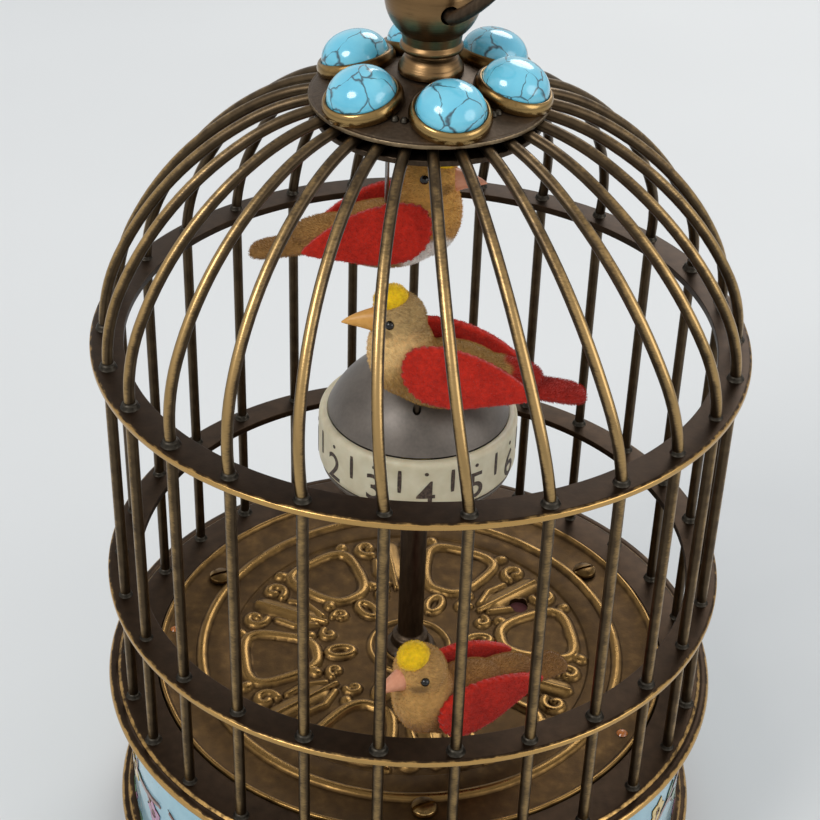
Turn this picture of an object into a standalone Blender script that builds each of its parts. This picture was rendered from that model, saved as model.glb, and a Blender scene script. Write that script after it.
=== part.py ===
# Birdcage clock: a round brass cage on an enamelled drum, three birds, a ball clock
# with a turning number band on a column, turquoise stones round the crown.
# Units are metres, +Z up, front of the clock toward -Y, base resting on z = 0.
import math

import bmesh
import bpy
from mathutils import Matrix, Vector

MM = 0.001
GAP = 0.3 * MM            # running and assembly clearance between neighbours

# Heights of the base, stacked from the table up
FOOT_H = 9.0 * MM
LOW_PLATE_Z = FOOT_H + 4.2 * MM
PLATE_SPAN = 17.8 * MM    # from the underside of the bottom plate to that of the top plate
HIGH_PLATE_Z = LOW_PLATE_Z + PLATE_SPAN
TRAY_RISE = 14.7 * MM
BASE_TOP_Z = HIGH_PLATE_Z + TRAY_RISE

# Cage sizes
WIRE_COUNT = 27
WIRE_R = 1.0 * MM
CAGE_R = 57.4 * MM        # radius on which the wires stand; bands, ring and drum follow it
FIRST_WIRE_DEG = -84.7    # azimuth of wire 0, measured from -Y toward +X
CAGE_H = 77.3 * MM        # from the base's top to the top face of the shoulder band
SHOULDER_Z = BASE_TOP_Z + CAGE_H
MID_BAND_DROP = 51.3 * MM
BAND_OUTER_R = CAGE_R + 2.6 * MM
BAND_INNER_R = CAGE_R - 3.5 * MM
BAND_T = 1.4 * MM
ROUND_STEPS = 32          # segments of every large turned piece, so nested ones agree
SHOULDER_ARC_R = 31.4 * MM
SHOULDER_ARC_DEG = 26.3
DOME_ARC_R = 61.4 * MM
DOME_ARC_END_DEG = 64.0
DOME_TWIST_DEG = -6.5     # how far the wires have turned by their inner ends
WIRE_END_R = 15.8 * MM

# Crown, finial and carry ring sizes
CROWN_EDGE_R = 20.6 * MM
CROWN_EDGE_Z = SHOULDER_Z + 45.7 * MM
CROWN_T = 0.8 * MM
CROWN_SLOPE_DEG = 14.8
CROWN_FLAT_R = 6.0 * MM
CLAMP_R = 19.6 * MM
CLAMP_T = 1.0 * MM
STUD_R = 2.0 * MM
NUT_FLATS = 7.0 * MM
NUT_H = 3.0 * MM
STONE_AZ_DEG = (14.0, 76.0, 132.0, 188.0, 243.0, 310.0)
STONE_RING_R = 14.1 * MM
STONE_R = 5.85 * MM
STONE_H = 4.9 * MM
BEZEL_WALL = 0.65 * MM
BEZEL_H = 2.3 * MM
BEZEL_FLOOR = 0.6 * MM
FINIAL_BALL_R = 8.1 * MM
RING_HOLE_R = 1.6 * MM
RING_AZ_DEG = 20.5        # azimuth of the cross hole in the finial
RING_WIRE_R = 1.15 * MM
RING_LOOP_R = 15.0 * MM
RING_LEAN_DEG = 38.0

# Ball clock and column sizes
BALL_R = 18.6 * MM
BALL_STEPS = 28
BALL_Z = SHOULDER_Z - 25.1 * MM
DOME_T = 1.2 * MM
BAND_TOP_Z = SHOULDER_Z - 18.2 * MM
BAND_LOW_Z = SHOULDER_Z - 28.5 * MM
HOUR_BAND_R = 18.8 * MM
HOUR_BAND_T = 1.7 * MM
CAP_DEPTH = 6.0 * MM
ROD_R = 0.45 * MM
CORE_BORE_R = ROD_R + GAP
CORE_R = 1.2 * MM
HOUR_BORE_R = CORE_R + GAP
HOUR_TUBE_R = 1.9 * MM
SLEEVE_BORE_R = HOUR_TUBE_R + GAP
SLEEVE_R = 2.6 * MM
TUBE_STEPS = 14
COLLAR_R = 5.2 * MM
COLLAR_H = 3.6 * MM

# Base sizes
FOOT_R = 6.2 * MM
FOOT_AZ_DEG = (45.0, 135.0, 225.0, 315.0)
DRUM_R = CAGE_R + 0.6 * MM
DRUM_T = 1.2 * MM
DRUM_SEAT_R = DRUM_R - DRUM_T - GAP   # rings that slip inside the drum
FOOT_SPOT_R = DRUM_R - 4.5 * MM       # radius on which the feet stand
BASE_RING_T = 3.7 * MM
BASE_RING_R = DRUM_R + 3.6 * MM
TRAY_R = DRUM_R - 6.4 * MM
TRAY_T = 1.1 * MM
TRAY_FLOOR_R = TRAY_R - 14.6 * MM
TRAY_BEAD_R = TRAY_R - 8.9 * MM
# stamped relief of the tray: tapered frames, an oval boss before each, a leaf between them
RELIEF_T = 0.8 * MM
RELIEF_COUNT = 6
RELIEF_AZ_DEG = 280.0
FRAME_MID_R = TRAY_FLOOR_R - 10.3 * MM
FRAME_REACH = 8.2 * MM     # half of its radial length
FRAME_HALF_W = 7.4 * MM    # half its width at the middle
FRAME_TAPER = 2.2 * MM     # added outside, taken off inside
FRAME_BAR = 1.6 * MM
BOSS_MID_R = 14.4 * MM
SCREW_AZ_DEG = (4.7, 124.7, 244.7)
SCREW_RING_R = TRAY_R - 5.9 * MM
COVER_R = DRUM_R - 9.0 * MM
COVER_T = 1.2 * MM

# Movement sizes
PLATE_R = COVER_R - GAP
PLATE_T = 1.5 * MM
PILLAR_R = 3.0 * MM
WHEEL_T = 1.2 * MM
PIVOT_R = 0.55 * MM
TRAIN = {
    "barrel": {"teeth": 32, "module": 1.10 * MM},
    "centre_pinion": {"teeth": 8, "module": 1.10 * MM},
    "centre": {"teeth": 30, "module": 0.95 * MM},
    "third_pinion": {"teeth": 6, "module": 0.95 * MM},
    "third": {"teeth": 30, "module": 0.78 * MM},
    "fourth_pinion": {"teeth": 6, "module": 0.78 * MM},
    "fourth": {"teeth": 30, "module": 0.70 * MM},
    "escape_pinion": {"teeth": 6, "module": 0.70 * MM},
    "cannon": {"teeth": 8, "module": 0.875 * MM},
    "minute": {"teeth": 24, "module": 0.875 * MM},
    "minute_pinion": {"teeth": 6, "module": 14.0 / 15.0 * MM},
    "hour": {"teeth": 24, "module": 14.0 / 15.0 * MM},
}
CENTRE_XY = Vector((0.0, 20.0 * MM))
BARREL_DIR_DEG = 200.4    # direction from the centre arbor to the barrel
THIRD_DIR_DEG = -20.0
FOURTH_DIR_DEG = -70.0
ESCAPE_DIR_DEG = -60.0
PALLET_DIR_DEG = -120.0
BALANCE_DIR_DEG = -170.0
ESCAPE_TEETH = 15
ESCAPE_R = 7.0 * MM
PALLET_DIST = 9.6 * MM
BALANCE_DIST = 11.4 * MM
BALANCE_R = 8.6 * MM

# Bird sizes
# place: body centre, heading in degrees (0 = +X), nose-up pitch in degrees
SWING_RISE = 15.4 * MM     # above the shoulder band
PERCH_RISE = 23.6 * MM     # above the middle of the ball
STAND_RISE = 14.9 * MM     # above the top of the base
BIRDS = {
    "swing_bird": {"at": (-8.2, 9.0, (SHOULDER_Z + SWING_RISE) / MM),
                   "heading": -8.0, "pitch": 7.0},
    "ball_bird": {"at": (5.6, -11.3, (BALL_Z + PERCH_RISE) / MM),
                  "heading": 186.0, "pitch": 4.0},
    "floor_bird": {"at": (10.2, -28.4, (BASE_TOP_Z + STAND_RISE) / MM),
                   "heading": 217.0, "pitch": 1.0},
}
BODY_AT = (0.6 * MM, 0.0, -1.0 * MM)
BODY_SEMI = (11.0 * MM, 6.0 * MM, 6.3 * MM)
RUMP_AT = (-8.0 * MM, 0.0, -1.6 * MM)
RUMP_SEMI = (9.0 * MM, 4.2 * MM, 3.8 * MM)
NECK_AT = (9.2 * MM, 0.0, 2.4 * MM)
NECK_SEMI = (6.2 * MM, 5.6 * MM, 8.6 * MM)
HEAD_AT = (10.4 * MM, 0.0, 9.2 * MM)
HEAD_R = 5.1 * MM
TAIL_LEN = 25.5 * MM
TAIL_W = 7.8 * MM
TAIL_T = 2.2 * MM
WING_T = 0.9 * MM
WING_AT = (-0.6 * MM, 6.0 * MM, 1.6 * MM)
CREST_AT = (1.7 * MM, 0.0, 4.3 * MM)    # from the middle of the head
BEAK_LEN = 6.2 * MM
BEAK_R = 2.7 * MM          # where the cone starts inside the head
POST_R = 0.7 * MM
POST_CLEAR = 0.8 * MM
HANGER_R = 0.4 * MM
HANG_AHEAD = 1.4 * MM      # hanging point ahead of the body centre

for old in list(bpy.data.objects):
    bpy.data.objects.remove(old, do_unlink=True)

clock = bpy.data.collections.new("birdcage_clock")
bpy.context.scene.collection.children.link(clock)
cutters = bpy.data.collections.new("cutters")
bpy.context.scene.collection.children.link(cutters)


def material(name, colour, rough, metal):
    mat = bpy.data.materials.new(name)
    mat.use_nodes = True
    bsdf = mat.node_tree.nodes["Principled BSDF"]
    bsdf.inputs["Base Color"].default_value = (*colour, 1.0)
    bsdf.inputs["Roughness"].default_value = rough
    bsdf.inputs["Metallic"].default_value = metal
    mat.diffuse_color = (*colour, 1.0)
    return mat


MATS = {
    "bronze": material("antique_bronze", (0.17, 0.12, 0.08), 0.45, 1.0),
    "rubbed": material("rubbed_brass", (0.42, 0.30, 0.15), 0.38, 1.0),
    "brass": material("plate_brass", (0.62, 0.46, 0.20), 0.35, 1.0),
    "steel": material("steel", (0.45, 0.45, 0.46), 0.35, 1.0),
    "spring": material("spring_steel", (0.20, 0.24, 0.32), 0.35, 1.0),
    "grey": material("gunmetal_paint", (0.13, 0.14, 0.15), 0.42, 0.6),
    "ivory": material("ivory_plastic", (0.80, 0.76, 0.62), 0.45, 0.0),
    "enamel": material("blue_enamel", (0.36, 0.55, 0.72), 0.18, 0.0),
    "stone": material("turquoise_stone", (0.25, 0.66, 0.70), 0.30, 0.0),
    "fuzz": material("tan_flock", (0.50, 0.33, 0.15), 0.90, 0.0),
    "felt": material("red_felt", (0.62, 0.10, 0.07), 0.95, 0.0),
}


def polar(radius, azimuthDeg):
    """Point on the plan: azimuth 0 is the front (-Y), turning toward +X."""
    a = math.radians(azimuthDeg)
    return Vector((radius * math.sin(a), -radius * math.cos(a)))


def offset(point, distance, directionDeg):
    a = math.radians(directionDeg)
    return Vector((point[0] + distance * math.cos(a), point[1] + distance * math.sin(a)))


def finish(obj, mat, smooth=30.0):
    obj.data.materials.clear()
    obj.data.materials.append(MATS[mat])
    if smooth and obj.type == "MESH":
        obj.data.shade_smooth()
        obj.data.set_sharp_from_angle(angle=math.radians(smooth))
    return obj


def place(name, mesh, mat=None, asCutter=False):
    obj = bpy.data.objects.new(name, mesh)
    home = cutters if asCutter else clock
    home.objects.link(obj)
    if asCutter:
        obj.hide_render = True
        obj.display_type = "WIRE"
    if mat:
        finish(obj, mat)
    return obj


def clockwise(profile):
    """Profiles run down the outside and up the inside, so the skin faces out."""
    area = 0.0
    for (r0, z0), (r1, z1) in zip(profile, profile[1:] + profile[:1]):
        area += r0 * z1 - r1 * z0
    return profile if area < 0 else profile[::-1]


def turned(name, profile, mat=None, steps=48, asCutter=False, centre=(0.0, 0.0)):
    """Solid of revolution about Z through `centre`; a profile that starts and ends on
    the axis stays open, any other is closed."""
    points = clockwise(list(profile))
    onAxis = sum(1 for r, z in points if r < 1e-9)
    if onAxis == 2:
        while not (points[0][0] < 1e-9 and points[-1][0] < 1e-9):
            points = points[1:] + points[:1]
    mesh = bpy.data.meshes.new(name)
    edges = [(i, i + 1) for i in range(len(points) - 1)]
    if onAxis != 2:
        edges.append((len(points) - 1, 0))
    mesh.from_pydata([(r, 0.0, z) for r, z in points], edges, [])
    obj = place(name, mesh, None, asCutter)
    obj.location = (centre[0], centre[1], 0.0)
    screw = obj.modifiers.new("turn", "SCREW")
    screw.axis = "Z"
    screw.angle = math.tau
    screw.steps = steps
    screw.render_steps = steps
    screw.use_merge_vertices = True
    screw.merge_threshold = 0.00001
    screw.use_smooth_shade = True
    screw.use_normal_calculate = False
    if mat:
        obj.data.materials.append(MATS[mat])
    return obj


def bake(obj, name=None):
    """Evaluated copy of an object as a plain mesh in world space; the source goes."""
    bpy.context.view_layer.update()
    deps = bpy.context.evaluated_depsgraph_get()
    mesh = bpy.data.meshes.new_from_object(obj.evaluated_get(deps))
    mesh.transform(obj.matrix_world)
    mesh.name = name or obj.name
    bpy.data.objects.remove(obj, do_unlink=True)
    bm = bmesh.new()
    bm.from_mesh(mesh)
    bmesh.ops.remove_doubles(bm, verts=bm.verts, dist=0.000001)
    bmesh.ops.recalc_face_normals(bm, faces=bm.faces)
    bm.to_mesh(mesh)
    bm.free()
    return mesh


def copies(name, mesh, places, mat=None, asCutter=False):
    """One object holding a copy of `mesh` at each matrix in `places`."""
    bm = bmesh.new()
    for spot in places:
        one = mesh.copy()
        one.transform(spot)
        bm.from_mesh(one)
        bpy.data.meshes.remove(one)
    joined = bpy.data.meshes.new(name)
    bm.to_mesh(joined)
    bm.free()
    return place(name, joined, mat, asCutter)


def rod(name, start, end, radius, sides=12, mat=None, asCutter=False):
    start = Vector(start)
    end = Vector(end)
    run = end - start
    bm = bmesh.new()
    bmesh.ops.create_cone(bm, cap_ends=True, segments=sides, radius1=radius, radius2=radius,
                          depth=run.length)
    turn = run.to_track_quat("Z", "Y").to_matrix().to_4x4()
    bmesh.ops.transform(bm, matrix=Matrix.Translation((start + end) / 2) @ turn, verts=bm.verts)
    mesh = bpy.data.meshes.new(name)
    bm.to_mesh(mesh)
    bm.free()
    return place(name, mesh, mat, asCutter)


def block(name, size, at, turnDeg=0.0, mat=None, asCutter=False):
    bm = bmesh.new()
    bmesh.ops.create_cube(bm, size=1.0)
    bmesh.ops.scale(bm, vec=size, verts=bm.verts)
    spot = Matrix.Translation(at) @ Matrix.Rotation(math.radians(turnDeg), 4, "Z")
    bmesh.ops.transform(bm, matrix=spot, verts=bm.verts)
    mesh = bpy.data.meshes.new(name)
    bm.to_mesh(mesh)
    bm.free()
    return place(name, mesh, mat, asCutter)


def egg(name, semi, spot, across=14, rings=8, asCutter=True):
    bm = bmesh.new()
    bmesh.ops.create_uvsphere(bm, u_segments=across, v_segments=rings, radius=1.0)
    bmesh.ops.scale(bm, vec=semi, verts=bm.verts)
    bmesh.ops.transform(bm, matrix=spot, verts=bm.verts)
    mesh = bpy.data.meshes.new(name)
    bm.to_mesh(mesh)
    bm.free()
    return place(name, mesh, None, asCutter)


def tube(name, paths, radius, mat=None, closed=False):
    """Round wire along one or more point lists, ends capped."""
    data = bpy.data.curves.new(name, "CURVE")
    data.dimensions = "3D"
    data.bevel_depth = radius
    data.bevel_resolution = 2
    data.use_fill_caps = not closed
    for path in paths:
        spline = data.splines.new("POLY")
        spline.points.add(len(path) - 1)
        for point, at in zip(spline.points, path):
            point.co = (*at, 1.0)
        spline.use_cyclic_u = closed
        spline.use_smooth = True
    obj = bpy.data.objects.new(name, data)
    clock.objects.link(obj)
    if mat:
        data.materials.append(MATS[mat])
    return obj


def flat(name, loops, low, high, mat=None, asCutter=False):
    """Flat piece cut to closed outlines (outer first, then holes), low to high in Z."""
    data = bpy.data.curves.new(name, "CURVE")
    data.dimensions = "2D"
    data.fill_mode = "BOTH"
    data.extrude = (high - low) / 2
    for loop in loops:
        spline = data.splines.new("POLY")
        spline.points.add(len(loop) - 1)
        for point, (x, y) in zip(spline.points, loop):
            point.co = (x, y, 0.0, 1.0)
        spline.use_cyclic_u = True
    temp = bpy.data.objects.new(name, data)
    clock.objects.link(temp)
    temp.location.z = (low + high) / 2
    mesh = bake(temp, name)
    return place(name, mesh, mat, asCutter)


def boolean(obj, other, how):
    mod = obj.modifiers.new(how.lower() + "_" + other.name, "BOOLEAN")
    mod.operation = how
    mod.solver = "EXACT"
    mod.object = other
    return obj


def cut(obj, *others):
    for other in others:
        boolean(obj, other, "DIFFERENCE")
    return obj


def join(obj, *others):
    for other in others:
        boolean(obj, other, "UNION")
    return obj


def circle(radius, sides, centre=(0.0, 0.0), startDeg=0.0):
    loop = []
    for i in range(sides):
        a = math.radians(startDeg) + math.tau * i / sides
        loop.append((centre[0] + radius * math.cos(a), centre[1] + radius * math.sin(a)))
    return loop


def discProfile(inner, outer, low, high, edge=0.0):
    if edge:
        return [(inner, high), (outer - edge, high), (outer, high - edge),
                (outer, low + edge), (outer - edge, low), (inner, low)]
    return [(inner, high), (outer, high), (outer, low), (inner, low)]


# Cage

slope = math.tan(math.radians(CROWN_SLOPE_DEG))
underPlate = (CROWN_T + GAP + WIRE_R) / math.cos(math.radians(CROWN_SLOPE_DEG))


def crownTopZ(radius):
    return CROWN_EDGE_Z + (CROWN_EDGE_R - max(radius, CROWN_FLAT_R)) * slope


def wirePath(azimuthDeg):
    """Straight up the side, over the shoulder arc and the flatter dome arc, then
    straight in under the crown plate; the dome turns a little as it rises."""
    points = [(CAGE_R, BASE_TOP_Z + GAP), (CAGE_R, SHOULDER_Z)]
    theta = math.radians(SHOULDER_ARC_DEG)
    centreR = CAGE_R - SHOULDER_ARC_R
    for i in range(1, 3):
        t = theta * i / 2
        points.append((centreR + SHOULDER_ARC_R * math.cos(t),
                       SHOULDER_Z + SHOULDER_ARC_R * math.sin(t)))
    endR, endZ = points[-1]
    c2r = endR - DOME_ARC_R * math.cos(theta)
    c2z = endZ - DOME_ARC_R * math.sin(theta)
    last = math.radians(DOME_ARC_END_DEG)
    for i in range(1, 4):
        t = theta + (last - theta) * i / 3
        points.append((c2r + DOME_ARC_R * math.cos(t), c2z + DOME_ARC_R * math.sin(t)))
    for radius in (CROWN_EDGE_R + 0.8 * MM, WIRE_END_R):
        points.append((radius, CROWN_EDGE_Z + (CROWN_EDGE_R - radius) * slope - underPlate))
    flatPath = []
    for r, z in points:
        inward = (CAGE_R - r) / (CAGE_R - WIRE_END_R)
        spot = polar(r, azimuthDeg + DOME_TWIST_DEG * math.sqrt(max(inward, 0.0)))
        flatPath.append((spot.x, spot.y, z))
    return flatPath


wireAz = [FIRST_WIRE_DEG + 360.0 * k / WIRE_COUNT for k in range(WIRE_COUNT)]
wires = tube("wires", [wirePath(a) for a in wireAz], WIRE_R)
wires.data.bevel_resolution = 1
wires = place("wires", bake(wires), None, True)

# the two upper bands are soldered to every wire, so the cage is one piece
cage = turned("cage", discProfile(BAND_INNER_R, BAND_OUTER_R, SHOULDER_Z - BAND_T, SHOULDER_Z),
              "bronze", ROUND_STEPS)
midTop = SHOULDER_Z - MID_BAND_DROP
midBand = turned("mid_band", discProfile(BAND_INNER_R, BAND_OUTER_R, midTop - BAND_T, midTop),
                 None, ROUND_STEPS, True)
join(cage, wires, midBand)

# Crown

hubZ = crownTopZ(0.0)
crownPlate = turned("crown_plate", [
    (STUD_R + GAP, hubZ), (CROWN_FLAT_R, hubZ),
    (CROWN_EDGE_R, CROWN_EDGE_Z),
    (CROWN_EDGE_R, CROWN_EDGE_Z - CROWN_T),
    (CROWN_FLAT_R, hubZ - CROWN_T), (STUD_R + GAP, hubZ - CROWN_T)], "bronze", 24)

clampDrop = underPlate + (WIRE_R + GAP) / math.cos(math.radians(CROWN_SLOPE_DEG))
clampHub = crownTopZ(WIRE_END_R) - clampDrop
turned("crown_clamp_disc", [
    (STUD_R + GAP, clampHub), (WIRE_END_R - 1.0 * MM, clampHub),
    (CLAMP_R, crownTopZ(CLAMP_R) - clampDrop),
    (CLAMP_R, crownTopZ(CLAMP_R) - clampDrop - CLAMP_T),
    (WIRE_END_R - 1.0 * MM, clampHub - CLAMP_T), (STUD_R + GAP, clampHub - CLAMP_T)],
    "rubbed", 20)

nutTop = clampHub - CLAMP_T - GAP
flat("crown_nut", [circle(NUT_FLATS / 2 / math.cos(math.pi / 6), 6),
                   circle(STUD_R + GAP, 8)], nutTop - NUT_H, nutTop, "brass")

footZ = hubZ + GAP
ballZ = SHOULDER_Z + 63.0 * MM
studLow = nutTop - NUT_H - 1.0 * MM
finialProfile = [(0.0, studLow), (STUD_R, studLow), (STUD_R, footZ), (5.6 * MM, footZ),
                 (5.3 * MM, footZ + 1.2 * MM), (4.3 * MM, footZ + 2.8 * MM),
                 (3.7 * MM, footZ + 3.3 * MM), (5.0 * MM, footZ + 3.8 * MM),
                 (5.35 * MM, footZ + 4.6 * MM)]
for i in range(9):
    a = math.radians(-52.0 + 142.0 * i / 8)
    finialProfile.append((max(FINIAL_BALL_R * math.cos(a), 0.0) if i < 8 else 0.0,
                          ballZ + FINIAL_BALL_R * math.sin(a)))
finial = turned("finial", finialProfile, "rubbed", 18)
across = polar(1.0, RING_AZ_DEG).to_3d()
holeAt = Vector((0.0, 0.0, ballZ - 0.7 * MM))
holeHalf = FINIAL_BALL_R + 2.0 * MM
cut(finial, rod("ring_hole", holeAt - across * holeHalf, holeAt + across * holeHalf,
                RING_HOLE_R, 10, None, True))

# carry ring: two straight pins in the cross hole, bowed out into one round loop
side = Vector((math.cos(math.radians(RING_AZ_DEG)), math.sin(math.radians(RING_AZ_DEG)), 0.0))
lean = math.radians(RING_LEAN_DEG)
upward = side * math.sin(lean) + Vector((0.0, 0.0, 1.0)) * math.cos(lean)
pinOut = FINIAL_BALL_R + 1.9 * MM
loopRise = math.sqrt(RING_LOOP_R ** 2 - pinOut ** 2)
ringPath = [holeAt + across * 1.2 * MM, holeAt + across * (pinOut - 0.8 * MM)]
startAngle = math.atan2(-loopRise, pinOut)
for i in range(17):
    a = startAngle + (math.pi - 2 * startAngle) * i / 16
    ringPath.append(holeAt + upward * (loopRise + RING_LOOP_R * math.sin(a) + 0.8 * MM)
                    + across * RING_LOOP_R * math.cos(a))
ringPath += [holeAt - across * (pinOut - 0.8 * MM), holeAt - across * 1.2 * MM]
tube("carry_ring", [ringPath], RING_WIRE_R, "rubbed")

tilt = math.radians(CROWN_SLOPE_DEG)
bezelInner = STONE_R + GAP
stonePlaces = []
for az in STONE_AZ_DEG:
    spot = polar(STONE_RING_R, az)
    lift = crownTopZ(STONE_RING_R) - 0.3 * MM
    hinge = Vector((math.cos(math.radians(az)), math.sin(math.radians(az)), 0.0))
    stonePlaces.append(Matrix.Translation((spot.x, spot.y, lift))
                       @ Matrix.Rotation(tilt, 4, hinge))
bezelOut = bezelInner + BEZEL_WALL
bezelProfile = [(0.0, 0.0), (bezelOut - 0.2 * MM, 0.0), (bezelOut, BEZEL_H * 0.6),
                (bezelInner + 0.3 * MM, BEZEL_H), (bezelInner, BEZEL_FLOOR), (0.0, BEZEL_FLOOR)]
bezel = bake(turned("bezel", bezelProfile, None, 12))
join(crownPlate, copies("bezels", bezel, stonePlaces, None, True))
stoneLow = BEZEL_FLOOR + GAP
stoneProfile = [(0.0, stoneLow), (STONE_R, stoneLow), (STONE_R, stoneLow + 1.0 * MM)]
for i in range(1, 5):
    a = math.radians(90.0 * i / 4)
    rise = (STONE_H - 1.0 * MM) * math.sin(a)
    stoneProfile.append((STONE_R * math.cos(a) if i < 4 else 0.0, stoneLow + 1.0 * MM + rise))
stone = bake(turned("stone", stoneProfile, None, 16))
for i, spot in enumerate(stonePlaces):
    copies("cabochon_%d" % (i + 1), stone, [spot], "stone")

# Ball clock

domeLowZ = BAND_TOP_Z + GAP
domeInner = BALL_R - DOME_T
lowAngle = math.asin((domeLowZ - BALL_Z) / BALL_R)
lowAngleIn = math.asin((domeLowZ - BALL_Z) / domeInner)
domeProfile = []
for i in range(7):
    a = lowAngle + (math.acos((CORE_R + GAP) / BALL_R) - lowAngle) * i / 6
    domeProfile.append((BALL_R * math.cos(a), BALL_Z + BALL_R * math.sin(a)))
for i in range(5):
    a = math.acos((CORE_R + GAP) / domeInner)
    a += (lowAngleIn - a) * i / 4
    domeProfile.append((domeInner * math.cos(a), BALL_Z + domeInner * math.sin(a)))
dome = turned("ball_dome", domeProfile, "grey", BALL_STEPS)

bandInner = HOUR_BAND_R - HOUR_BAND_T
turned("hour_band", [
    (bandInner, BAND_TOP_Z), (HOUR_BAND_R - 0.9 * MM, BAND_TOP_Z),
    (HOUR_BAND_R - 0.2 * MM, BAND_TOP_Z - 0.4 * MM), (HOUR_BAND_R, BAND_TOP_Z - 1.3 * MM),
    (HOUR_BAND_R, BAND_LOW_Z + 0.4 * MM), (HOUR_BAND_R - 0.4 * MM, BAND_LOW_Z),
    (bandInner, BAND_LOW_Z)], "ivory", BALL_STEPS)

capTop = BAND_LOW_Z - GAP
capR = HOUR_BAND_R - 0.5 * MM
hubR = HOUR_TUBE_R + 2.2 * MM
capProfile = [(capR - 1.0 * MM, capTop), (capR, capTop - 0.2 * MM)]
for i in range(1, 4):
    a = math.radians(72.0 * i / 3)
    capProfile.append((capR * math.cos(a), capTop - CAP_DEPTH * math.sin(a)))
capProfile += [(HOUR_TUBE_R + GAP, capTop - CAP_DEPTH), (HOUR_TUBE_R + GAP, capTop - 1.2 * MM),
               (hubR, capTop - 1.2 * MM), (hubR, capTop - CAP_DEPTH + 1.4 * MM),
               (capR * 0.62, capTop - CAP_DEPTH * 0.55)]
turned("ball_lower_cap", capProfile, "grey", BALL_STEPS)

# Column: push rod inside the fixed core tube, inside the hour tube, inside the sleeve
coreTop = BALL_Z + math.sqrt(BALL_R ** 2 - CORE_R ** 2) - 0.4 * MM
coreLow = HIGH_PLATE_Z + PLATE_T + GAP
flangeZ = BALL_Z + math.sqrt(domeInner ** 2 - (3.0 * MM) ** 2) - GAP
coreTube = turned("core_tube", [
    (CORE_BORE_R, coreTop), (CORE_R, coreTop), (CORE_R, flangeZ), (3.0 * MM, flangeZ),
    (3.0 * MM, flangeZ - 1.0 * MM), (CORE_R, flangeZ - 1.0 * MM), (CORE_R, coreLow + 1.2 * MM),
    (2.3 * MM, coreLow + 1.2 * MM), (2.3 * MM, coreLow), (CORE_BORE_R, coreLow)], "steel",
    TUBE_STEPS)

sleeveTop = capTop - CAP_DEPTH - GAP
collarLow = BASE_TOP_Z - 0.8 * MM + GAP
turned("column", [
    (SLEEVE_BORE_R, sleeveTop), (SLEEVE_R, sleeveTop), (SLEEVE_R, collarLow + COLLAR_H),
    (3.6 * MM, collarLow + COLLAR_H), (3.9 * MM, collarLow + 1.6 * MM),
    (COLLAR_R, collarLow + 1.0 * MM), (COLLAR_R, collarLow), (SLEEVE_BORE_R, collarLow)],
    "rubbed", TUBE_STEPS)

# Base

footRingLow = FOOT_H + GAP
footRingTop = footRingLow + 4.6 * MM
drumLow = footRingTop - 1.2 * MM
baseRingLow = BASE_TOP_Z - BASE_RING_T
footRing = turned("foot_ring", [
    (COVER_R + GAP, footRingTop), (DRUM_SEAT_R, footRingTop),
    (DRUM_SEAT_R, drumLow - GAP), (DRUM_R + 0.6 * MM, drumLow - GAP),
    (DRUM_R + 3.0 * MM, drumLow - 1.2 * MM), (DRUM_R + 3.0 * MM, footRingLow + 0.6 * MM),
    (DRUM_R + 1.8 * MM, footRingLow), (COVER_R - 2.0 * MM, footRingLow),
    (COVER_R - 2.0 * MM, footRingLow + 1.2 * MM), (COVER_R + GAP, footRingLow + 1.2 * MM)],
    "bronze", ROUND_STEPS)
footSpots = [polar(FOOT_SPOT_R, a) for a in FOOT_AZ_DEG]
studHoles = []
for i, spot in enumerate(footSpots):
    hole = rod("foot_hole_%d" % i, (spot.x, spot.y, footRingLow - 1.0 * MM),
               (spot.x, spot.y, footRingTop + 1.0 * MM), 1.9 * MM, 8, None, True)
    studHoles.append(hole)
cut(footRing, *studHoles)
footProfile = [(0.0, 0.0), (4.6 * MM, 0.0), (FOOT_R, 3.0 * MM), (3.7 * MM, 6.6 * MM),
               (5.0 * MM, 7.8 * MM), (5.0 * MM, FOOT_H), (1.5 * MM, FOOT_H),
               (1.5 * MM, footRingTop), (0.0, footRingTop)]
foot = bake(turned("foot", footProfile, None, 12))
for i, spot in enumerate(footSpots):
    copies("foot_%d" % (i + 1), foot, [Matrix.Translation((spot.x, spot.y, 0.0))], "rubbed")

turned("base_drum", discProfile(DRUM_R - DRUM_T, DRUM_R, drumLow, baseRingLow - GAP),
       "enamel", ROUND_STEPS)

trayLow = BASE_TOP_Z - 0.8 * MM - TRAY_T
ledgeTop = trayLow - GAP
turned("base_top_ring", [
    (TRAY_R + GAP, BASE_TOP_Z), (BASE_RING_R - 2.3 * MM, BASE_TOP_Z),
    (BASE_RING_R - 1.5 * MM, BASE_TOP_Z - 0.5 * MM),
    (BASE_RING_R - 0.4 * MM, BASE_TOP_Z - 0.5 * MM), (BASE_RING_R, BASE_TOP_Z - 1.5 * MM),
    (BASE_RING_R - 2.2 * MM, baseRingLow),
    (DRUM_SEAT_R, baseRingLow), (DRUM_SEAT_R, baseRingLow - 2.4 * MM),
    (DRUM_SEAT_R - 1.9 * MM, baseRingLow - 2.4 * MM), (TRAY_R - 2.2 * MM, baseRingLow),
    (TRAY_R - 2.2 * MM, ledgeTop), (TRAY_R + GAP, ledgeTop)], "bronze", ROUND_STEPS)

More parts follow.
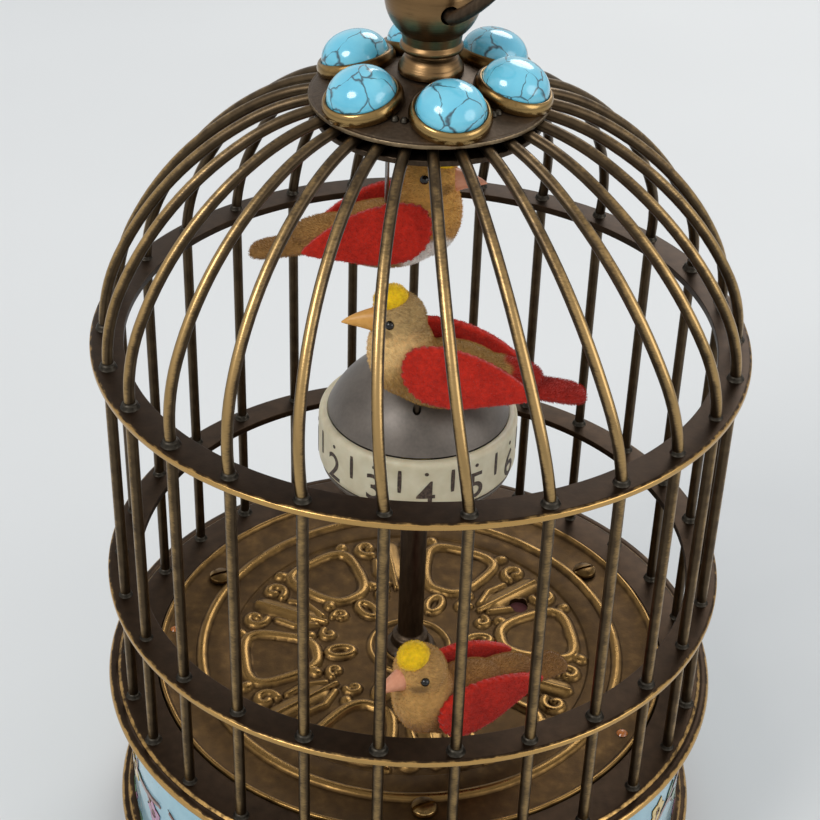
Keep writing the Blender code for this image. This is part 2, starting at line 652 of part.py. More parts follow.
trayTop = trayLow + TRAY_T
tray = turned("tray", [
    (SLEEVE_R + GAP, trayTop), (TRAY_FLOOR_R - 0.3 * MM, trayTop),
    (TRAY_FLOOR_R, trayTop + 0.35 * MM), (TRAY_BEAD_R - 0.7 * MM, trayTop + 0.35 * MM),
    (TRAY_BEAD_R, trayTop + 1.0 * MM), (TRAY_BEAD_R + 0.7 * MM, trayTop + 0.35 * MM),
    (TRAY_R - 1.3 * MM, trayTop + 0.35 * MM), (TRAY_R - 0.7 * MM, trayTop + 1.3 * MM),
    (TRAY_R, trayTop + 1.3 * MM), (TRAY_R, trayLow), (SLEEVE_R + GAP, trayLow)], "brass",
    ROUND_STEPS)

pillarSpots = [polar(SCREW_RING_R, a) for a in SCREW_AZ_DEG]
screwHoles = []
for i, spot in enumerate(pillarSpots):
    screwHoles.append(rod("tray_screw_hole_%d" % i, (spot.x, spot.y, trayLow - 1.0 * MM),
                          (spot.x, spot.y, trayTop + 2.0 * MM), 1.2 * MM, 8, None, True))
wellSpot = polar(TRAY_FLOOR_R - 10.0 * MM, 122.0)


def frameLoop(inset):
    """Tapered rounded square in (along the radius, across it), `inset` from its outline."""
    loop = []
    for k in range(12):
        a = math.radians(15.0 + 30.0 * k)
        ca = math.cos(a)
        sa = math.sin(a)
        square = (abs(ca) ** 3.2 + abs(sa) ** 3.2) ** (-1.0 / 3.2)
        halfW = FRAME_HALF_W + FRAME_TAPER * ca * square - inset
        loop.append((FRAME_MID_R + (FRAME_REACH - inset) * ca * square, halfW * sa * square))
    return loop


bossLoop = [(BOSS_MID_R + 2.9 * MM * math.cos(math.tau * k / 8), 1.8 * MM * math.sin(math.tau * k / 8))
            for k in range(8)]
leafLoop = []
leafTurn = Matrix.Rotation(math.pi / RELIEF_COUNT, 2)
for along, across in ((18.0, 0.0), (24.0, 1.5), (31.0, 1.9), (35.0, 0.6), (35.0, -0.6),
                      (31.0, -1.9), (24.0, -1.5)):
    leafLoop.append(tuple(leafTurn @ Vector((along * MM, across * MM))))
reliefMesh = bake(flat("relief_sector", [frameLoop(0.0), frameLoop(FRAME_BAR), bossLoop, leafLoop],
                       trayTop - 0.3 * MM, trayTop + RELIEF_T))
reliefTurns = [Matrix.Rotation(math.radians(RELIEF_AZ_DEG - 90.0 + 360.0 * k / RELIEF_COUNT), 4, "Z")
               for k in range(RELIEF_COUNT)]
join(tray, copies("tray_relief", reliefMesh, reliefTurns, None, True))
cut(tray,*screwHoles, rod("tray_slot", (wellSpot.x, wellSpot.y, trayLow - 1.0 * MM),
                           (wellSpot.x, wellSpot.y, trayTop + 1.0 * MM), 2.0 * MM, 12, None, True))

headLow = trayTop + 0.35 * MM + GAP
screwProfile = [(0.0, trayLow - 4.0 * MM), (0.9 * MM, trayLow - 4.0 * MM), (0.9 * MM, headLow),
                (2.5 * MM, headLow), (2.4 * MM, headLow + 0.9 * MM), (0.0, headLow + 1.25 * MM)]
screwMesh = bake(turned("tray_screw", screwProfile, None, 12))
slotMesh = bake(block("slot", (6.0 * MM, 0.7 * MM, 1.2 * MM),
                      (0.0, 0.0, headLow + 1.25 * MM), 25.0))
screwPlaces = [Matrix.Translation((s.x, s.y, 0.0)) for s in pillarSpots]
for i, spot in enumerate(screwPlaces):
    screw = copies("tray_screw_%d" % (i + 1), screwMesh, [spot], "brass")
    cut(screw, copies("tray_screw_slot_%d" % i, slotMesh, [spot], None, True))

coverLow = footRingLow + 1.2 * MM + GAP

# Movement

lowTop = LOW_PLATE_Z + PLATE_T
highTop = HIGH_PLATE_Z + PLATE_T


def pitchR(key):
    return TRAIN[key]["teeth"] * TRAIN[key]["module"] / 2


def spacing(wheel, pinion):
    return pitchR(wheel) + pitchR(pinion)


def teethLoop(key, centre, phaseDeg):
    """Gear outline, first tooth at phaseDeg. Wheels have flat tips and V spaces, leaves
    of the small pinions are slimmer, so a pair runs free with ample backlash."""
    count = TRAIN[key]["teeth"]
    module = TRAIN[key]["module"]
    pitch = pitchR(key)
    halfStep = math.pi * module / 2
    if count <= 8:
        stations = ((-1.15, -0.62 * module), (0.75, -0.16 * module),
                    (0.75, 0.16 * module), (-1.15, 0.62 * module))
    else:
        stations = ((0.80, -0.22 * module), (0.80, 0.22 * module), (-1.20, halfStep))
    loop = []
    for i in range(count):
        a = math.radians(phaseDeg) + math.tau * i / count
        for out, along in stations:
            radius = pitch + out * module
            turn = along / pitch if out < 0 and count > 8 else along / radius
            loop.append((centre[0] + radius * math.cos(a + turn),
                         centre[1] + radius * math.sin(a + turn)))
    return loop


def meshPhase(wheel, wheelPhase, pinion, directionDeg):
    """Phase of the pinion so that a space of it faces a tooth of the wheel."""
    wheelStep = 360.0 / TRAIN[wheel]["teeth"]
    pinionStep = 360.0 / TRAIN[pinion]["teeth"]
    ahead = (directionDeg - wheelPhase) / wheelStep
    part = ahead - math.floor(ahead)
    back = directionDeg + 180.0
    return back + (part + 0.5) * pinionStep


centreXY = CENTRE_XY
barrelXY = offset(centreXY, spacing("barrel", "centre_pinion"), BARREL_DIR_DEG)
thirdXY = offset(centreXY, spacing("centre", "third_pinion"), THIRD_DIR_DEG)
fourthXY = offset(thirdXY, spacing("third", "fourth_pinion"), FOURTH_DIR_DEG)
escapeXY = offset(fourthXY, spacing("fourth", "escape_pinion"), ESCAPE_DIR_DEG)
palletXY = offset(escapeXY, PALLET_DIST, PALLET_DIR_DEG)
balanceXY = offset(palletXY, BALANCE_DIST, BALANCE_DIR_DEG)
minuteReach = spacing("minute", "cannon")
half = centreXY.length / 2
minuteXY = Vector((math.sqrt(minuteReach ** 2 - half ** 2), half))


def arborProfile(spans):
    """Stepped arbor from (radius, low, high) spans given from the bottom up."""
    points = [(0.0, spans[0][1])]
    for radius, low, high in spans:
        points += [(radius, low), (radius, high)]
    points.append((0.0, spans[-1][2]))
    return points


def arbor(name, centre, spans, mat="steel", steps=12):
    return turned(name, arborProfile(spans), mat, steps, False, centre)


pivotLow = LOW_PLATE_Z + 0.3 * MM
pivotHigh = highTop - 0.3 * MM
shoulderLow = lowTop + GAP
shoulderHigh = HIGH_PLATE_Z - GAP

barrelToothZ = LOW_PLATE_Z + 2.8 * MM
centreToothZ = HIGH_PLATE_Z - 4.0 * MM
thirdToothZ = LOW_PLATE_Z + 6.2 * MM
fourthToothZ = LOW_PLATE_Z + 10.4 * MM

# spring barrel: toothed drum, closed lid, spring coil and arbor inside
barrelPhase = 2.0
barrelWall = pitchR("barrel") - 2.6 * MM
barrelHigh = HIGH_PLATE_Z - 5.0 * MM
drum = turned("spring_barrel", [
    (2.8 * MM, barrelToothZ + 1.2 * MM), (barrelWall - 0.8 * MM, barrelToothZ + 1.2 * MM),
    (barrelWall - 0.8 * MM, barrelHigh - 0.8 * MM), (2.8 * MM, barrelHigh - 0.8 * MM),
    (2.8 * MM, barrelHigh), (barrelWall, barrelHigh), (barrelWall, barrelToothZ),
    (2.8 * MM, barrelToothZ)], "brass", 18, False, barrelXY)
join(drum, flat("barrel_teeth", [teethLoop("barrel", barrelXY, barrelPhase),
                                 circle(barrelWall - 0.6 * MM, 16, barrelXY)],
                barrelToothZ, barrelToothZ + 1.2 * MM, None, True))
springIn = 5.4 * MM
springOut = barrelWall - 0.8 * MM - GAP
turned("mainspring", discProfile(springIn, springOut, barrelToothZ + 1.2 * MM + GAP,
                                 barrelHigh - 0.8 * MM - GAP), "spring", 24, False, barrelXY)
keyLow = coverLow - 8.6 * MM
knobLow = coverLow - 8.0 * MM
knobTop = coverLow - 1.4 * MM
arbor("barrel_arbor", barrelXY, [
    (1.8 * MM, keyLow + 1.6 * MM, lowTop + GAP),
    (2.4 * MM, lowTop + GAP, barrelToothZ + 1.2 * MM + GAP),
    (4.6 * MM, barrelToothZ + 1.2 * MM + GAP, barrelHigh - 0.8 * MM - GAP),
    (2.4 * MM, barrelHigh - 0.8 * MM - GAP, shoulderHigh),
    (1.2 * MM, shoulderHigh, pivotHigh)], "steel", 10)

# centre arbor: pinion driven by the barrel, great wheel, cannon pinion above the plate
centrePhase = meshPhase("barrel", barrelPhase, "centre_pinion", BARREL_DIR_DEG - 180.0)
centreArbor = arbor("centre_wheel", centreXY, [
    (1.2 * MM, knobLow + 1.8 * MM, lowTop + GAP), (1.6 * MM, lowTop + GAP, shoulderHigh),
    (1.2 * MM, shoulderHigh, highTop + 5.5 * MM)], "brass", 8)
join(centreArbor,
     flat("centre_pinion", [teethLoop("centre_pinion", centreXY, centrePhase)],
          barrelToothZ - 0.4 * MM, barrelToothZ + 2.0 * MM, None, True),
     flat("centre_teeth", [teethLoop("centre", centreXY, 1.0)],
          centreToothZ, centreToothZ + WHEEL_T, None, True))
cannonPhase = 5.0
join(centreArbor, flat("cannon_pinion", [teethLoop("cannon", centreXY, cannonPhase)],
                       highTop + GAP + 0.2 * MM, highTop + 2.6 * MM, None, True))

thirdPhase = meshPhase("centre", 1.0, "third_pinion", THIRD_DIR_DEG)
thirdArbor = arbor("third_wheel", thirdXY, [
    (PIVOT_R, pivotLow, shoulderLow), (0.9 * MM, shoulderLow, shoulderHigh),
    (PIVOT_R, shoulderHigh, pivotHigh)], "brass", 8)
join(thirdArbor,
     flat("third_pinion", [teethLoop("third_pinion", thirdXY, thirdPhase)],
          centreToothZ - 0.4 * MM, centreToothZ + 2.0 * MM, None, True),
     flat("third_teeth", [teethLoop("third", thirdXY, 3.0)],
          thirdToothZ, thirdToothZ + WHEEL_T, None, True))

fourthPhase = meshPhase("third", 3.0, "fourth_pinion", FOURTH_DIR_DEG)
fourthArbor = arbor("fourth_wheel", fourthXY, [
    (PIVOT_R, pivotLow, shoulderLow), (0.8 * MM, shoulderLow, shoulderHigh),
    (PIVOT_R, shoulderHigh, pivotHigh)], "brass", 8)
join(fourthArbor,
     flat("fourth_pinion", [teethLoop("fourth_pinion", fourthXY, fourthPhase)],
          thirdToothZ - 0.4 * MM, thirdToothZ + 2.0 * MM, None, True),
     flat("fourth_teeth", [teethLoop("fourth", fourthXY, 0.0)],
          fourthToothZ, fourthToothZ + WHEEL_T, None, True))

escapePhase = meshPhase("fourth", 0.0, "escape_pinion", ESCAPE_DIR_DEG)
escapeZ = LOW_PLATE_Z + 5.4 * MM
escapeLoop = []
for i in range(ESCAPE_TEETH):
    a = math.tau * i / ESCAPE_TEETH + math.radians(7.0)
    step = math.tau / ESCAPE_TEETH
    for radius, part in ((ESCAPE_R * 0.72, 0.0), (ESCAPE_R, 0.42), (ESCAPE_R, 0.50),
                         (ESCAPE_R * 0.72, 0.58)):
        escapeLoop.append((escapeXY.x + radius * math.cos(a + step * part),
                           escapeXY.y + radius * math.sin(a + step * part)))
escapeArbor = arbor("escape_wheel", escapeXY, [
    (PIVOT_R, pivotLow, shoulderLow), (0.8 * MM, shoulderLow, shoulderHigh),
    (PIVOT_R, shoulderHigh, pivotHigh)], "brass", 8)
join(escapeArbor,
     flat("escape_pinion", [teethLoop("escape_pinion", escapeXY, escapePhase)],
          fourthToothZ - 0.4 * MM, fourthToothZ + 2.0 * MM, None, True),
     flat("escape_teeth", [escapeLoop], escapeZ, escapeZ + 0.9 * MM, None, True))

# pallet lever: anchor arms with two pins beside the escape wheel, fork toward the balance
palletArbor = arbor("pallet_lever", palletXY, [
    (PIVOT_R, pivotLow, shoulderLow), (0.8 * MM, shoulderLow, shoulderHigh),
    (PIVOT_R, shoulderHigh, pivotHigh)], "steel", 8)
toEscape = PALLET_DIR_DEG + 180.0
toBalance = BALANCE_DIR_DEG
pinSpots = []
for sign in (-1.0, 1.0):
    pinSpots.append(offset(palletXY, 7.4 * MM, toEscape + sign * 66.0))
leverZ = escapeZ - 1.6 * MM
yokeIn = offset(palletXY, 1.6 * MM, toEscape + 180.0)
anchorLoop = [tuple(offset(pinSpots[0], 1.0 * MM, toEscape + 180.0 + 20.0)),
              tuple(offset(pinSpots[0], 1.0 * MM, toEscape - 90.0)),
              tuple(offset(palletXY, 1.5 * MM, toEscape)),
              tuple(offset(pinSpots[1], 1.0 * MM, toEscape + 90.0)),
              tuple(offset(pinSpots[1], 1.0 * MM, toEscape + 180.0 - 20.0)), tuple(yokeIn)]
forkAngle = math.radians(toBalance)
forkDir = Vector((math.cos(forkAngle), math.sin(forkAngle)))
forkSide = Vector((-forkDir.y, forkDir.x))
forkReach = BALANCE_DIST - 3.2 * MM
forkLoop = []
for along, sideways in ((-0.5, -0.8), (forkReach / MM - 2.2, -0.8), (forkReach / MM - 1.4, -1.7),
                        (forkReach / MM, -1.7), (forkReach / MM, -0.8),
                        (forkReach / MM - 1.2, -0.7), (forkReach / MM - 1.2, 0.7),
                        (forkReach / MM, 0.8), (forkReach / MM, 1.7),
                        (forkReach / MM - 1.4, 1.7), (forkReach / MM - 2.2, 0.8), (-0.5, 0.8)):
    spot = palletXY + forkDir * along * MM + forkSide * sideways * MM
    forkLoop.append((spot.x, spot.y))
join(palletArbor,
     flat("anchor_arms", [anchorLoop], leverZ, leverZ + 0.9 * MM, None, True),
     flat("fork", [forkLoop], leverZ + 0.2 * MM, leverZ + 1.1 * MM, None, True))
for i, spot in enumerate(pinSpots):
    join(palletArbor, rod("pallet_pin_%d" % i, (spot.x, spot.y, leverZ + 0.4 * MM),
                          (spot.x, spot.y, escapeZ + 1.2 * MM), 0.4 * MM, 8, None, True))

# balance: rim with two arms, roller with impulse pin, small face cam for the bird lever
balanceZ = LOW_PLATE_Z + 9.4 * MM
camLow = HIGH_PLATE_Z - 4.6 * MM
camHigh = HIGH_PLATE_Z - 3.8 * MM
staff = arbor("balance_wheel", balanceXY, [
    (PIVOT_R, pivotLow, shoulderLow), (0.8 * MM, shoulderLow, camLow),
    (2.6 * MM, camLow, camHigh), (0.8 * MM, camHigh, shoulderHigh),
    (PIVOT_R, shoulderHigh, pivotHigh)], "brass", 8)
wheelArm = block("balance_arm", (BALANCE_R * 1.9, 1.6 * MM, 0.9 * MM),
                 (balanceXY.x, balanceXY.y, balanceZ + 0.45 * MM), 35.0, None, True)
rim = flat("balance_rim", [circle(BALANCE_R, 20, balanceXY),
                           circle(BALANCE_R - 1.3 * MM, 20, balanceXY)],
           balanceZ, balanceZ + 1.1 * MM, None, True)
toPallet = BALANCE_DIR_DEG + 180.0
impulse = offset(balanceXY, 2.6 * MM, toPallet)
roller = turned("roller", discProfile(0.6 * MM, 3.3 * MM, leverZ + 1.8 * MM, leverZ + 2.6 * MM),
                None, 10, True, balanceXY)
pin = rod("impulse_pin", (impulse.x, impulse.y, leverZ + 0.1 * MM),
          (impulse.x, impulse.y, leverZ + 2.2 * MM), 0.4 * MM, 8, None, True)
join(staff, wheelArm, rim, roller, pin)

coil = []
for i in range(31):
    turn = i / 9
    radius = (1.9 + 0.85 * turn) * MM
    a = math.tau * turn
    coil.append((balanceXY.x + radius * math.cos(a), balanceXY.y + radius * math.sin(a),
                 balanceZ + 2.3 * MM))
hairData = tube("hairspring", [coil], 0.18 * MM, "spring")
hairData.data.bevel_resolution = 0

# bird lever: rocks on a cross pin under the top plate, from the balance cam to the rod
leverDir = (balanceXY).normalized()
leverLen = balanceXY.length
leverMid = leverDir * leverLen * 0.5
leverTurn = math.degrees(math.atan2(leverDir.y, leverDir.x))
barZ = HIGH_PLATE_Z - 2.6 * MM
crossDir = Vector((-leverDir.y, leverDir.x)).to_3d()
pinMid = Vector((leverMid.x, leverMid.y, barZ))
leverNear = -1.2 * MM
leverFar = leverLen - 1.5 * MM
barMid = leverDir * (leverNear + leverFar) / 2
lever = block("bird_lever", (leverFar - leverNear, 1.8 * MM, 1.4 * MM),
              (barMid.x, barMid.y, barZ), leverTurn, "steel")
cut(lever, rod("lever_bore", pinMid - crossDir * 3.0 * MM, pinMid + crossDir * 3.0 * MM,
               0.4 * MM, 10, None, True))

# hour tube with its 24-tooth wheel; minute wheel on its stud
hourZ = highTop + 4.0 * MM
cannonDir = math.degrees(math.atan2(minuteXY.y - centreXY.y, minuteXY.x - centreXY.x))
minutePhase = meshPhase("cannon", cannonPhase, "minute", cannonDir)
minuteLow = highTop + GAP + 0.4 * MM
minuteBody = turned("minute_wheel", discProfile(1.15 * MM, 1.9 * MM, minuteLow, hourZ + 2.4 * MM),
                    "brass", 10, False, minuteXY)
hourDir = math.degrees(math.atan2(-minuteXY.y, -minuteXY.x))
pinionPhase = 11.0
bore = circle(1.5 * MM, 8, minuteXY)
join(minuteBody,
     flat("minute_teeth", [teethLoop("minute", minuteXY, minutePhase), bore],
          minuteLow, minuteLow + WHEEL_T, None, True),
     flat("minute_pinion", [teethLoop("minute_pinion", minuteXY, pinionPhase), bore],
          hourZ - 0.6 * MM, hourZ + 1.8 * MM, None, True))
hourPhase = meshPhase("minute_pinion", pinionPhase, "hour", hourDir)
hourLow = coreLow + 1.2 * MM + GAP
hourTube = turned("hour_tube", [
    (HOUR_BORE_R, capTop - 0.1 * MM), (3.4 * MM, capTop - 0.1 * MM),
    (3.4 * MM, capTop - 1.2 * MM + GAP), (HOUR_TUBE_R, capTop - 1.2 * MM + GAP),
    (HOUR_TUBE_R, hourLow), (HOUR_BORE_R, hourLow)], "brass", TUBE_STEPS)
join(hourTube, flat("hour_teeth", [teethLoop("hour", (0.0, 0.0), hourPhase),
                                   circle(HOUR_TUBE_R - 0.2 * MM, 10)],
                    hourZ, hourZ + WHEEL_T, None, True))

# plates with pivot holes, stud for the minute wheel and hangers for the bird lever
pivots = (thirdXY, fourthXY, escapeXY, palletXY, balanceXY)


def plateHoles(name, low, high, extra):
    spots = [(xy, PIVOT_R + GAP) for xy in pivots] + extra
    cutsHere = []
    for i, (xy, radius) in enumerate(spots):
        cutsHere.append(rod("%s_hole_%d" % (name, i), (xy[0], xy[1], low - 1.0 * MM),
                            (xy[0], xy[1], high + 1.0 * MM), radius, 8, None, True))
    return cutsHere


lowPlate = turned("movement_bottom_plate", [
    (0.0, lowTop), (PLATE_R, lowTop), (PLATE_R, LOW_PLATE_Z), (0.0, LOW_PLATE_Z)],
    "brass", ROUND_STEPS)
cut(lowPlate, *plateHoles("low", LOW_PLATE_Z, lowTop,
                          [(barrelXY, 1.8 * MM + GAP), (centreXY, 1.2 * MM + GAP)]))
highPlate = turned("movement_top_plate", [
    (0.0, highTop), (PLATE_R, highTop), (PLATE_R, HIGH_PLATE_Z), (0.0, HIGH_PLATE_Z)],
    "brass", ROUND_STEPS)
stud = rod("minute_stud", (minuteXY.x, minuteXY.y, HIGH_PLATE_Z + 0.5 * MM),
           (minuteXY.x, minuteXY.y, hourZ + 3.2 * MM), 0.85 * MM, 12, None, True)
hangerSpots = []
for i, sign in enumerate((-1.0, 1.0)):
    at = pinMid + crossDir * sign * 1.9 * MM
    hangerSpots.append(block("lever_hanger_%d" % i, (1.6 * MM, 1.0 * MM, 4.0 * MM),
                             (at.x, at.y, barZ + 1.0 * MM), leverTurn, None, True))
crossPin = rod("lever_pin", pinMid - crossDir * 2.2 * MM, pinMid + crossDir * 2.2 * MM,
               0.22 * MM, 8, None, True)
join(highPlate, stud, *hangerSpots, crossPin)
cut(highPlate, *plateHoles("high", HIGH_PLATE_Z, highTop,
                           [(barrelXY, 1.2 * MM + GAP), (centreXY, 1.2 * MM + GAP),
                            ((0.0, 0.0), ROD_R + GAP)]
                           + [(s, 1.5 * MM + GAP) for s in pillarSpots]))

# pillars riveted into the bottom plate carry the top plate and reach up to the tray
pillarProfile = [
    (0.0, LOW_PLATE_Z + 0.4 * MM), (PILLAR_R, LOW_PLATE_Z + 0.4 * MM),
    (PILLAR_R, HIGH_PLATE_Z - GAP), (1.5 * MM, HIGH_PLATE_Z - GAP), (1.5 * MM, trayLow - GAP),
    (0.9 * MM + GAP, trayLow - GAP), (0.9 * MM + GAP, trayLow - 4.4 * MM),
    (0.0, trayLow - 4.4 * MM)]
pillarMesh = bake(turned("pillar", pillarProfile, None, 10))
join(lowPlate, copies("pillars", pillarMesh, screwPlaces, None, True))

# bottom cover, sprung into the ledge of the foot ring, with key and knob holes
cover = turned("bottom_cover", [
    (0.0, coverLow + COVER_T), (COVER_R - GAP, coverLow + COVER_T), (COVER_R - GAP, coverLow),
    (0.0, coverLow)], "bronze", ROUND_STEPS)
cut(cover, rod("key_hole", (barrelXY.x, barrelXY.y, coverLow - 1.0 * MM),
               (barrelXY.x, barrelXY.y, coverLow + 3.0 * MM), 3.4 * MM, 14, None, True),
    rod("knob_hole", (centreXY.x, centreXY.y, coverLow - 1.0 * MM),
        (centreXY.x, centreXY.y, coverLow + 3.0 * MM), 2.2 * MM, 12, None, True))

keyTop = coverLow - 0.6 * MM
key = turned("winding_key", [
    (1.8 * MM + GAP, keyTop), (3.4 * MM, keyTop), (3.4 * MM, keyLow + 1.0 * MM),
    (2.4 * MM, keyLow), (0.0, keyLow), (0.0, keyLow + 1.2 * MM),
    (1.8 * MM + GAP, keyLow + 1.2 * MM)], "brass", 12, False, barrelXY)
keyWing = block("key_wing", (20.0 * MM, 1.4 * MM, 5.4 * MM),
                (barrelXY.x, barrelXY.y, keyLow + 2.9 * MM), 60.0, None, True)
keyClear = rod("key_clear", (barrelXY.x, barrelXY.y, keyLow + 1.2 * MM),
               (barrelXY.x, barrelXY.y, keyTop + 2.0 * MM), 1.8 * MM + GAP, 12, None, True)
join(key, keyWing)
cut(key, keyClear)

turned("setting_knob", [
    (1.2 * MM + GAP, knobTop), (2.6 * MM, knobTop), (2.6 * MM, knobTop - 2.0 * MM),
    (5.0 * MM, knobTop - 2.2 * MM), (5.0 * MM, knobLow + 0.6 * MM), (4.4 * MM, knobLow),
    (0.0, knobLow), (0.0, knobLow + 1.5 * MM), (1.2 * MM + GAP, knobLow + 1.5 * MM)],
    "brass", 16, False, centreXY)

# Birds


def birdPlace(bird):
    at = Vector(bird["at"]) * MM
    return (Matrix.Translation(at) @ Matrix.Rotation(math.radians(bird["heading"]), 4, "Z")
            @ Matrix.Rotation(-math.radians(bird["pitch"]), 4, "Y"))


def outline(stations):
    """Leaf outline from (x, half width) stations, mirrored across the middle line."""
    upper = [(x, w) for x, w in stations]
    lower = [(x, -w) for x, w in reversed(stations) if w > 1e-9]
    return upper + lower


def birdForm(name, spot, grow=0.0, asCutter=True):
    """Body, neck, head and tail as one solid; `grow` swells it for clearance cuts."""
    body = egg(name, [s + grow for s in BODY_SEMI], spot @ Matrix.Translation(BODY_AT), 12, 8,
               asCutter)
    rump = egg(name + "_rump", [s + grow for s in RUMP_SEMI], spot @ Matrix.Translation(RUMP_AT),
               8, 6)
    neckSpot = spot @ Matrix.Translation(NECK_AT) @ Matrix.Rotation(math.radians(12.0), 4, "Y")
    neck = egg(name + "_neck", [s + grow for s in NECK_SEMI], neckSpot, 10, 6)
    head = egg(name + "_head", [HEAD_R + grow] * 3, spot @ Matrix.Translation(HEAD_AT), 10, 6)
    tail = flat(name + "_tail", [[(x * MM, y * MM) for x, y in outline([
        (-TAIL_LEN / MM, 1.9), (-TAIL_LEN / MM + 1.2, 3.2), (-20.0, TAIL_W / MM / 2),
        (-14.0, 3.6), (-8.0, 3.9)])]], -TAIL_T / 2 - grow, TAIL_T / 2 + grow, None, True)
    tail.data.transform(spot @ Matrix.Translation((0.0, 0.0, -2.0 * MM))
                        @ Matrix.Rotation(math.radians(-7.0), 4, "Y"))
    join(body, rump, neck, head, tail)
    return body


ballClear = egg("ball_clear", [BALL_R + 2 * GAP] * 3, Matrix.Translation((0.0, 0.0, BALL_Z)),
                28, 16)
for birdName, bird in BIRDS.items():
    spot = birdPlace(bird)
    body = birdForm(birdName + "_body", spot, 0.0, False)
    body.data.materials.append(MATS["fuzz"])
    swollen = birdForm(birdName + "_clear", spot, GAP + 0.1 * MM)

    wingLoop = [(10.0, 2.2), (8.4, 4.6), (4.0, 5.2), (-2.0, 3.9), (-8.0, 1.0), (-14.0, -3.6),
                (-13.2, -4.8), (-7.0, -5.6), (0.0, -6.4), (6.0, -5.2), (9.4, -1.8)]
    wing = bake(flat("wing", [[(x * MM, y * MM) for x, y in wingLoop]], -WING_T, WING_T))
    wingSpots = []
    for sign in (-1.0, 1.0):
        wingSpots.append(spot @ Matrix.Translation((WING_AT[0], sign * WING_AT[1], WING_AT[2]))
                         @ Matrix.Rotation(math.radians(90.0 + sign * 7.0), 4, "X"))
    for label, wingSpot in zip(("right", "left"), wingSpots):
        flap = cut(copies("%s_%s_wing" % (birdName, label), wing, [wingSpot], "felt"), swollen)
        if birdName == "ball_bird":
            cut(flap, ballClear)

    beakStart = spot @ Vector((HEAD_AT[0] + 3.6 * MM, 0.0, HEAD_AT[2] - 0.2 * MM))
    beakTip = spot @ Vector((HEAD_AT[0] + 3.6 * MM + BEAK_LEN, 0.0, HEAD_AT[2] - 0.6 * MM))
    bm = bmesh.new()
    bmesh.ops.create_cone(bm, cap_ends=True, segments=8, radius1=BEAK_R, radius2=0.25 * MM,
                          depth=(beakTip - beakStart).length)
    aim = (beakTip - beakStart).to_track_quat("Z", "Y").to_matrix().to_4x4()
    bmesh.ops.transform(bm, matrix=Matrix.Translation((beakStart + beakTip) / 2) @ aim, verts=bm.verts)
    beakMesh = bpy.data.meshes.new(birdName + "_beak")
    bm.to_mesh(beakMesh)
    bm.free()
    crest = egg(birdName + "_crest", (3.1 * MM, 2.9 * MM, 2.2 * MM),
                spot @ Matrix.Translation(Vector(HEAD_AT) + Vector(CREST_AT)), 8, 4)
    join(body, place(birdName + "_beak", beakMesh, None, True), crest)


def pocket(birdName, at, radius):
    """Upright hole into the belly for a post or a finger, clear all round."""
    body = bpy.data.objects[birdName + "_body"]
    cut(body, rod("%s_pocket_%d" % (birdName, len(body.modifiers)),
                  (at.x, at.y, at.z - 12.0 * MM), at, radius, 8, None, True))


def domeZ(at):
    return BALL_Z + math.sqrt(BALL_R ** 2 - at.x ** 2 - at.y ** 2)


# the two pecking birds stand on posts fixed to the dome and to the tray
postTop = (1.0 * MM, 0.0, -1.5 * MM)
ballFoot = birdPlace(BIRDS["ball_bird"]) @ Vector(postTop)
floorFoot = birdPlace(BIRDS["floor_bird"]) @ Vector(postTop)
for birdName, foot, low, holder in (
        ("ball_bird", ballFoot, domeZ(ballFoot) - DOME_T, dome),
        ("floor_bird", floorFoot, trayLow + 0.2 * MM, tray)):
    pocket(birdName, foot, POST_R + POST_CLEAR)
    join(holder, rod(birdName + "_post", (foot.x, foot.y, low),
                     (foot.x, foot.y, foot.z - 0.8 * MM), POST_R, 8, None, True))

# push rod: up the core tube, out through its slot, across under the dome, then a finger
# up through the dome into the ball bird
finger = birdPlace(BIRDS["ball_bird"]) @ Vector((5.8 * MM, 0.0, -1.5 * MM))
pocket("ball_bird", finger, ROD_R + POST_CLEAR)
crankZ = domeZ(finger) - DOME_T - 4.0 * MM
tube("push_rod", [[(0.0, 0.0, barZ + 0.7 * MM + GAP), (0.0, 0.0, crankZ),
                   (finger.x, finger.y, crankZ), (finger.x, finger.y, finger.z - 1.2 * MM)]],
     ROD_R, "steel")
cut(dome, rod("finger_hole", (finger.x, finger.y, crankZ + 1.0 * MM),
              (finger.x, finger.y, domeZ(finger) + 3.0 * MM), ROD_R + 0.6 * MM, 8, None, True))
slotMid = Vector((finger.x, finger.y)).normalized() * 2.0 * MM
slotTurn = math.degrees(math.atan2(slotMid.y, slotMid.x))
cut(coreTube, block("core_slot", (4.0 * MM, 1.6 * MM, 4.4 * MM),
                    (slotMid.x, slotMid.y, crankZ + 0.6 * MM), slotTurn, None, True))

# hanger of the upper bird: a wire from under the clamp disc, straight above the bird's
# balance point, into a hole in its back
swingHome = birdPlace(BIRDS["swing_bird"])
hangEnd = swingHome @ Vector((HANG_AHEAD, 0.0, 2.5 * MM))
hangTop = Vector((hangEnd.x, hangEnd.y, clampHub - CLAMP_T - GAP))
tube("bird_hanger", [[tuple(hangTop), tuple(hangEnd)]], HANGER_R, "steel")
cut(bpy.data.objects["swing_bird_body"],
    rod("hanger_hole", (hangEnd.x, hangEnd.y, hangEnd.z - GAP),
        (hangEnd.x, hangEnd.y, hangEnd.z + 12.0 * MM), HANGER_R + GAP, 8, None, True))

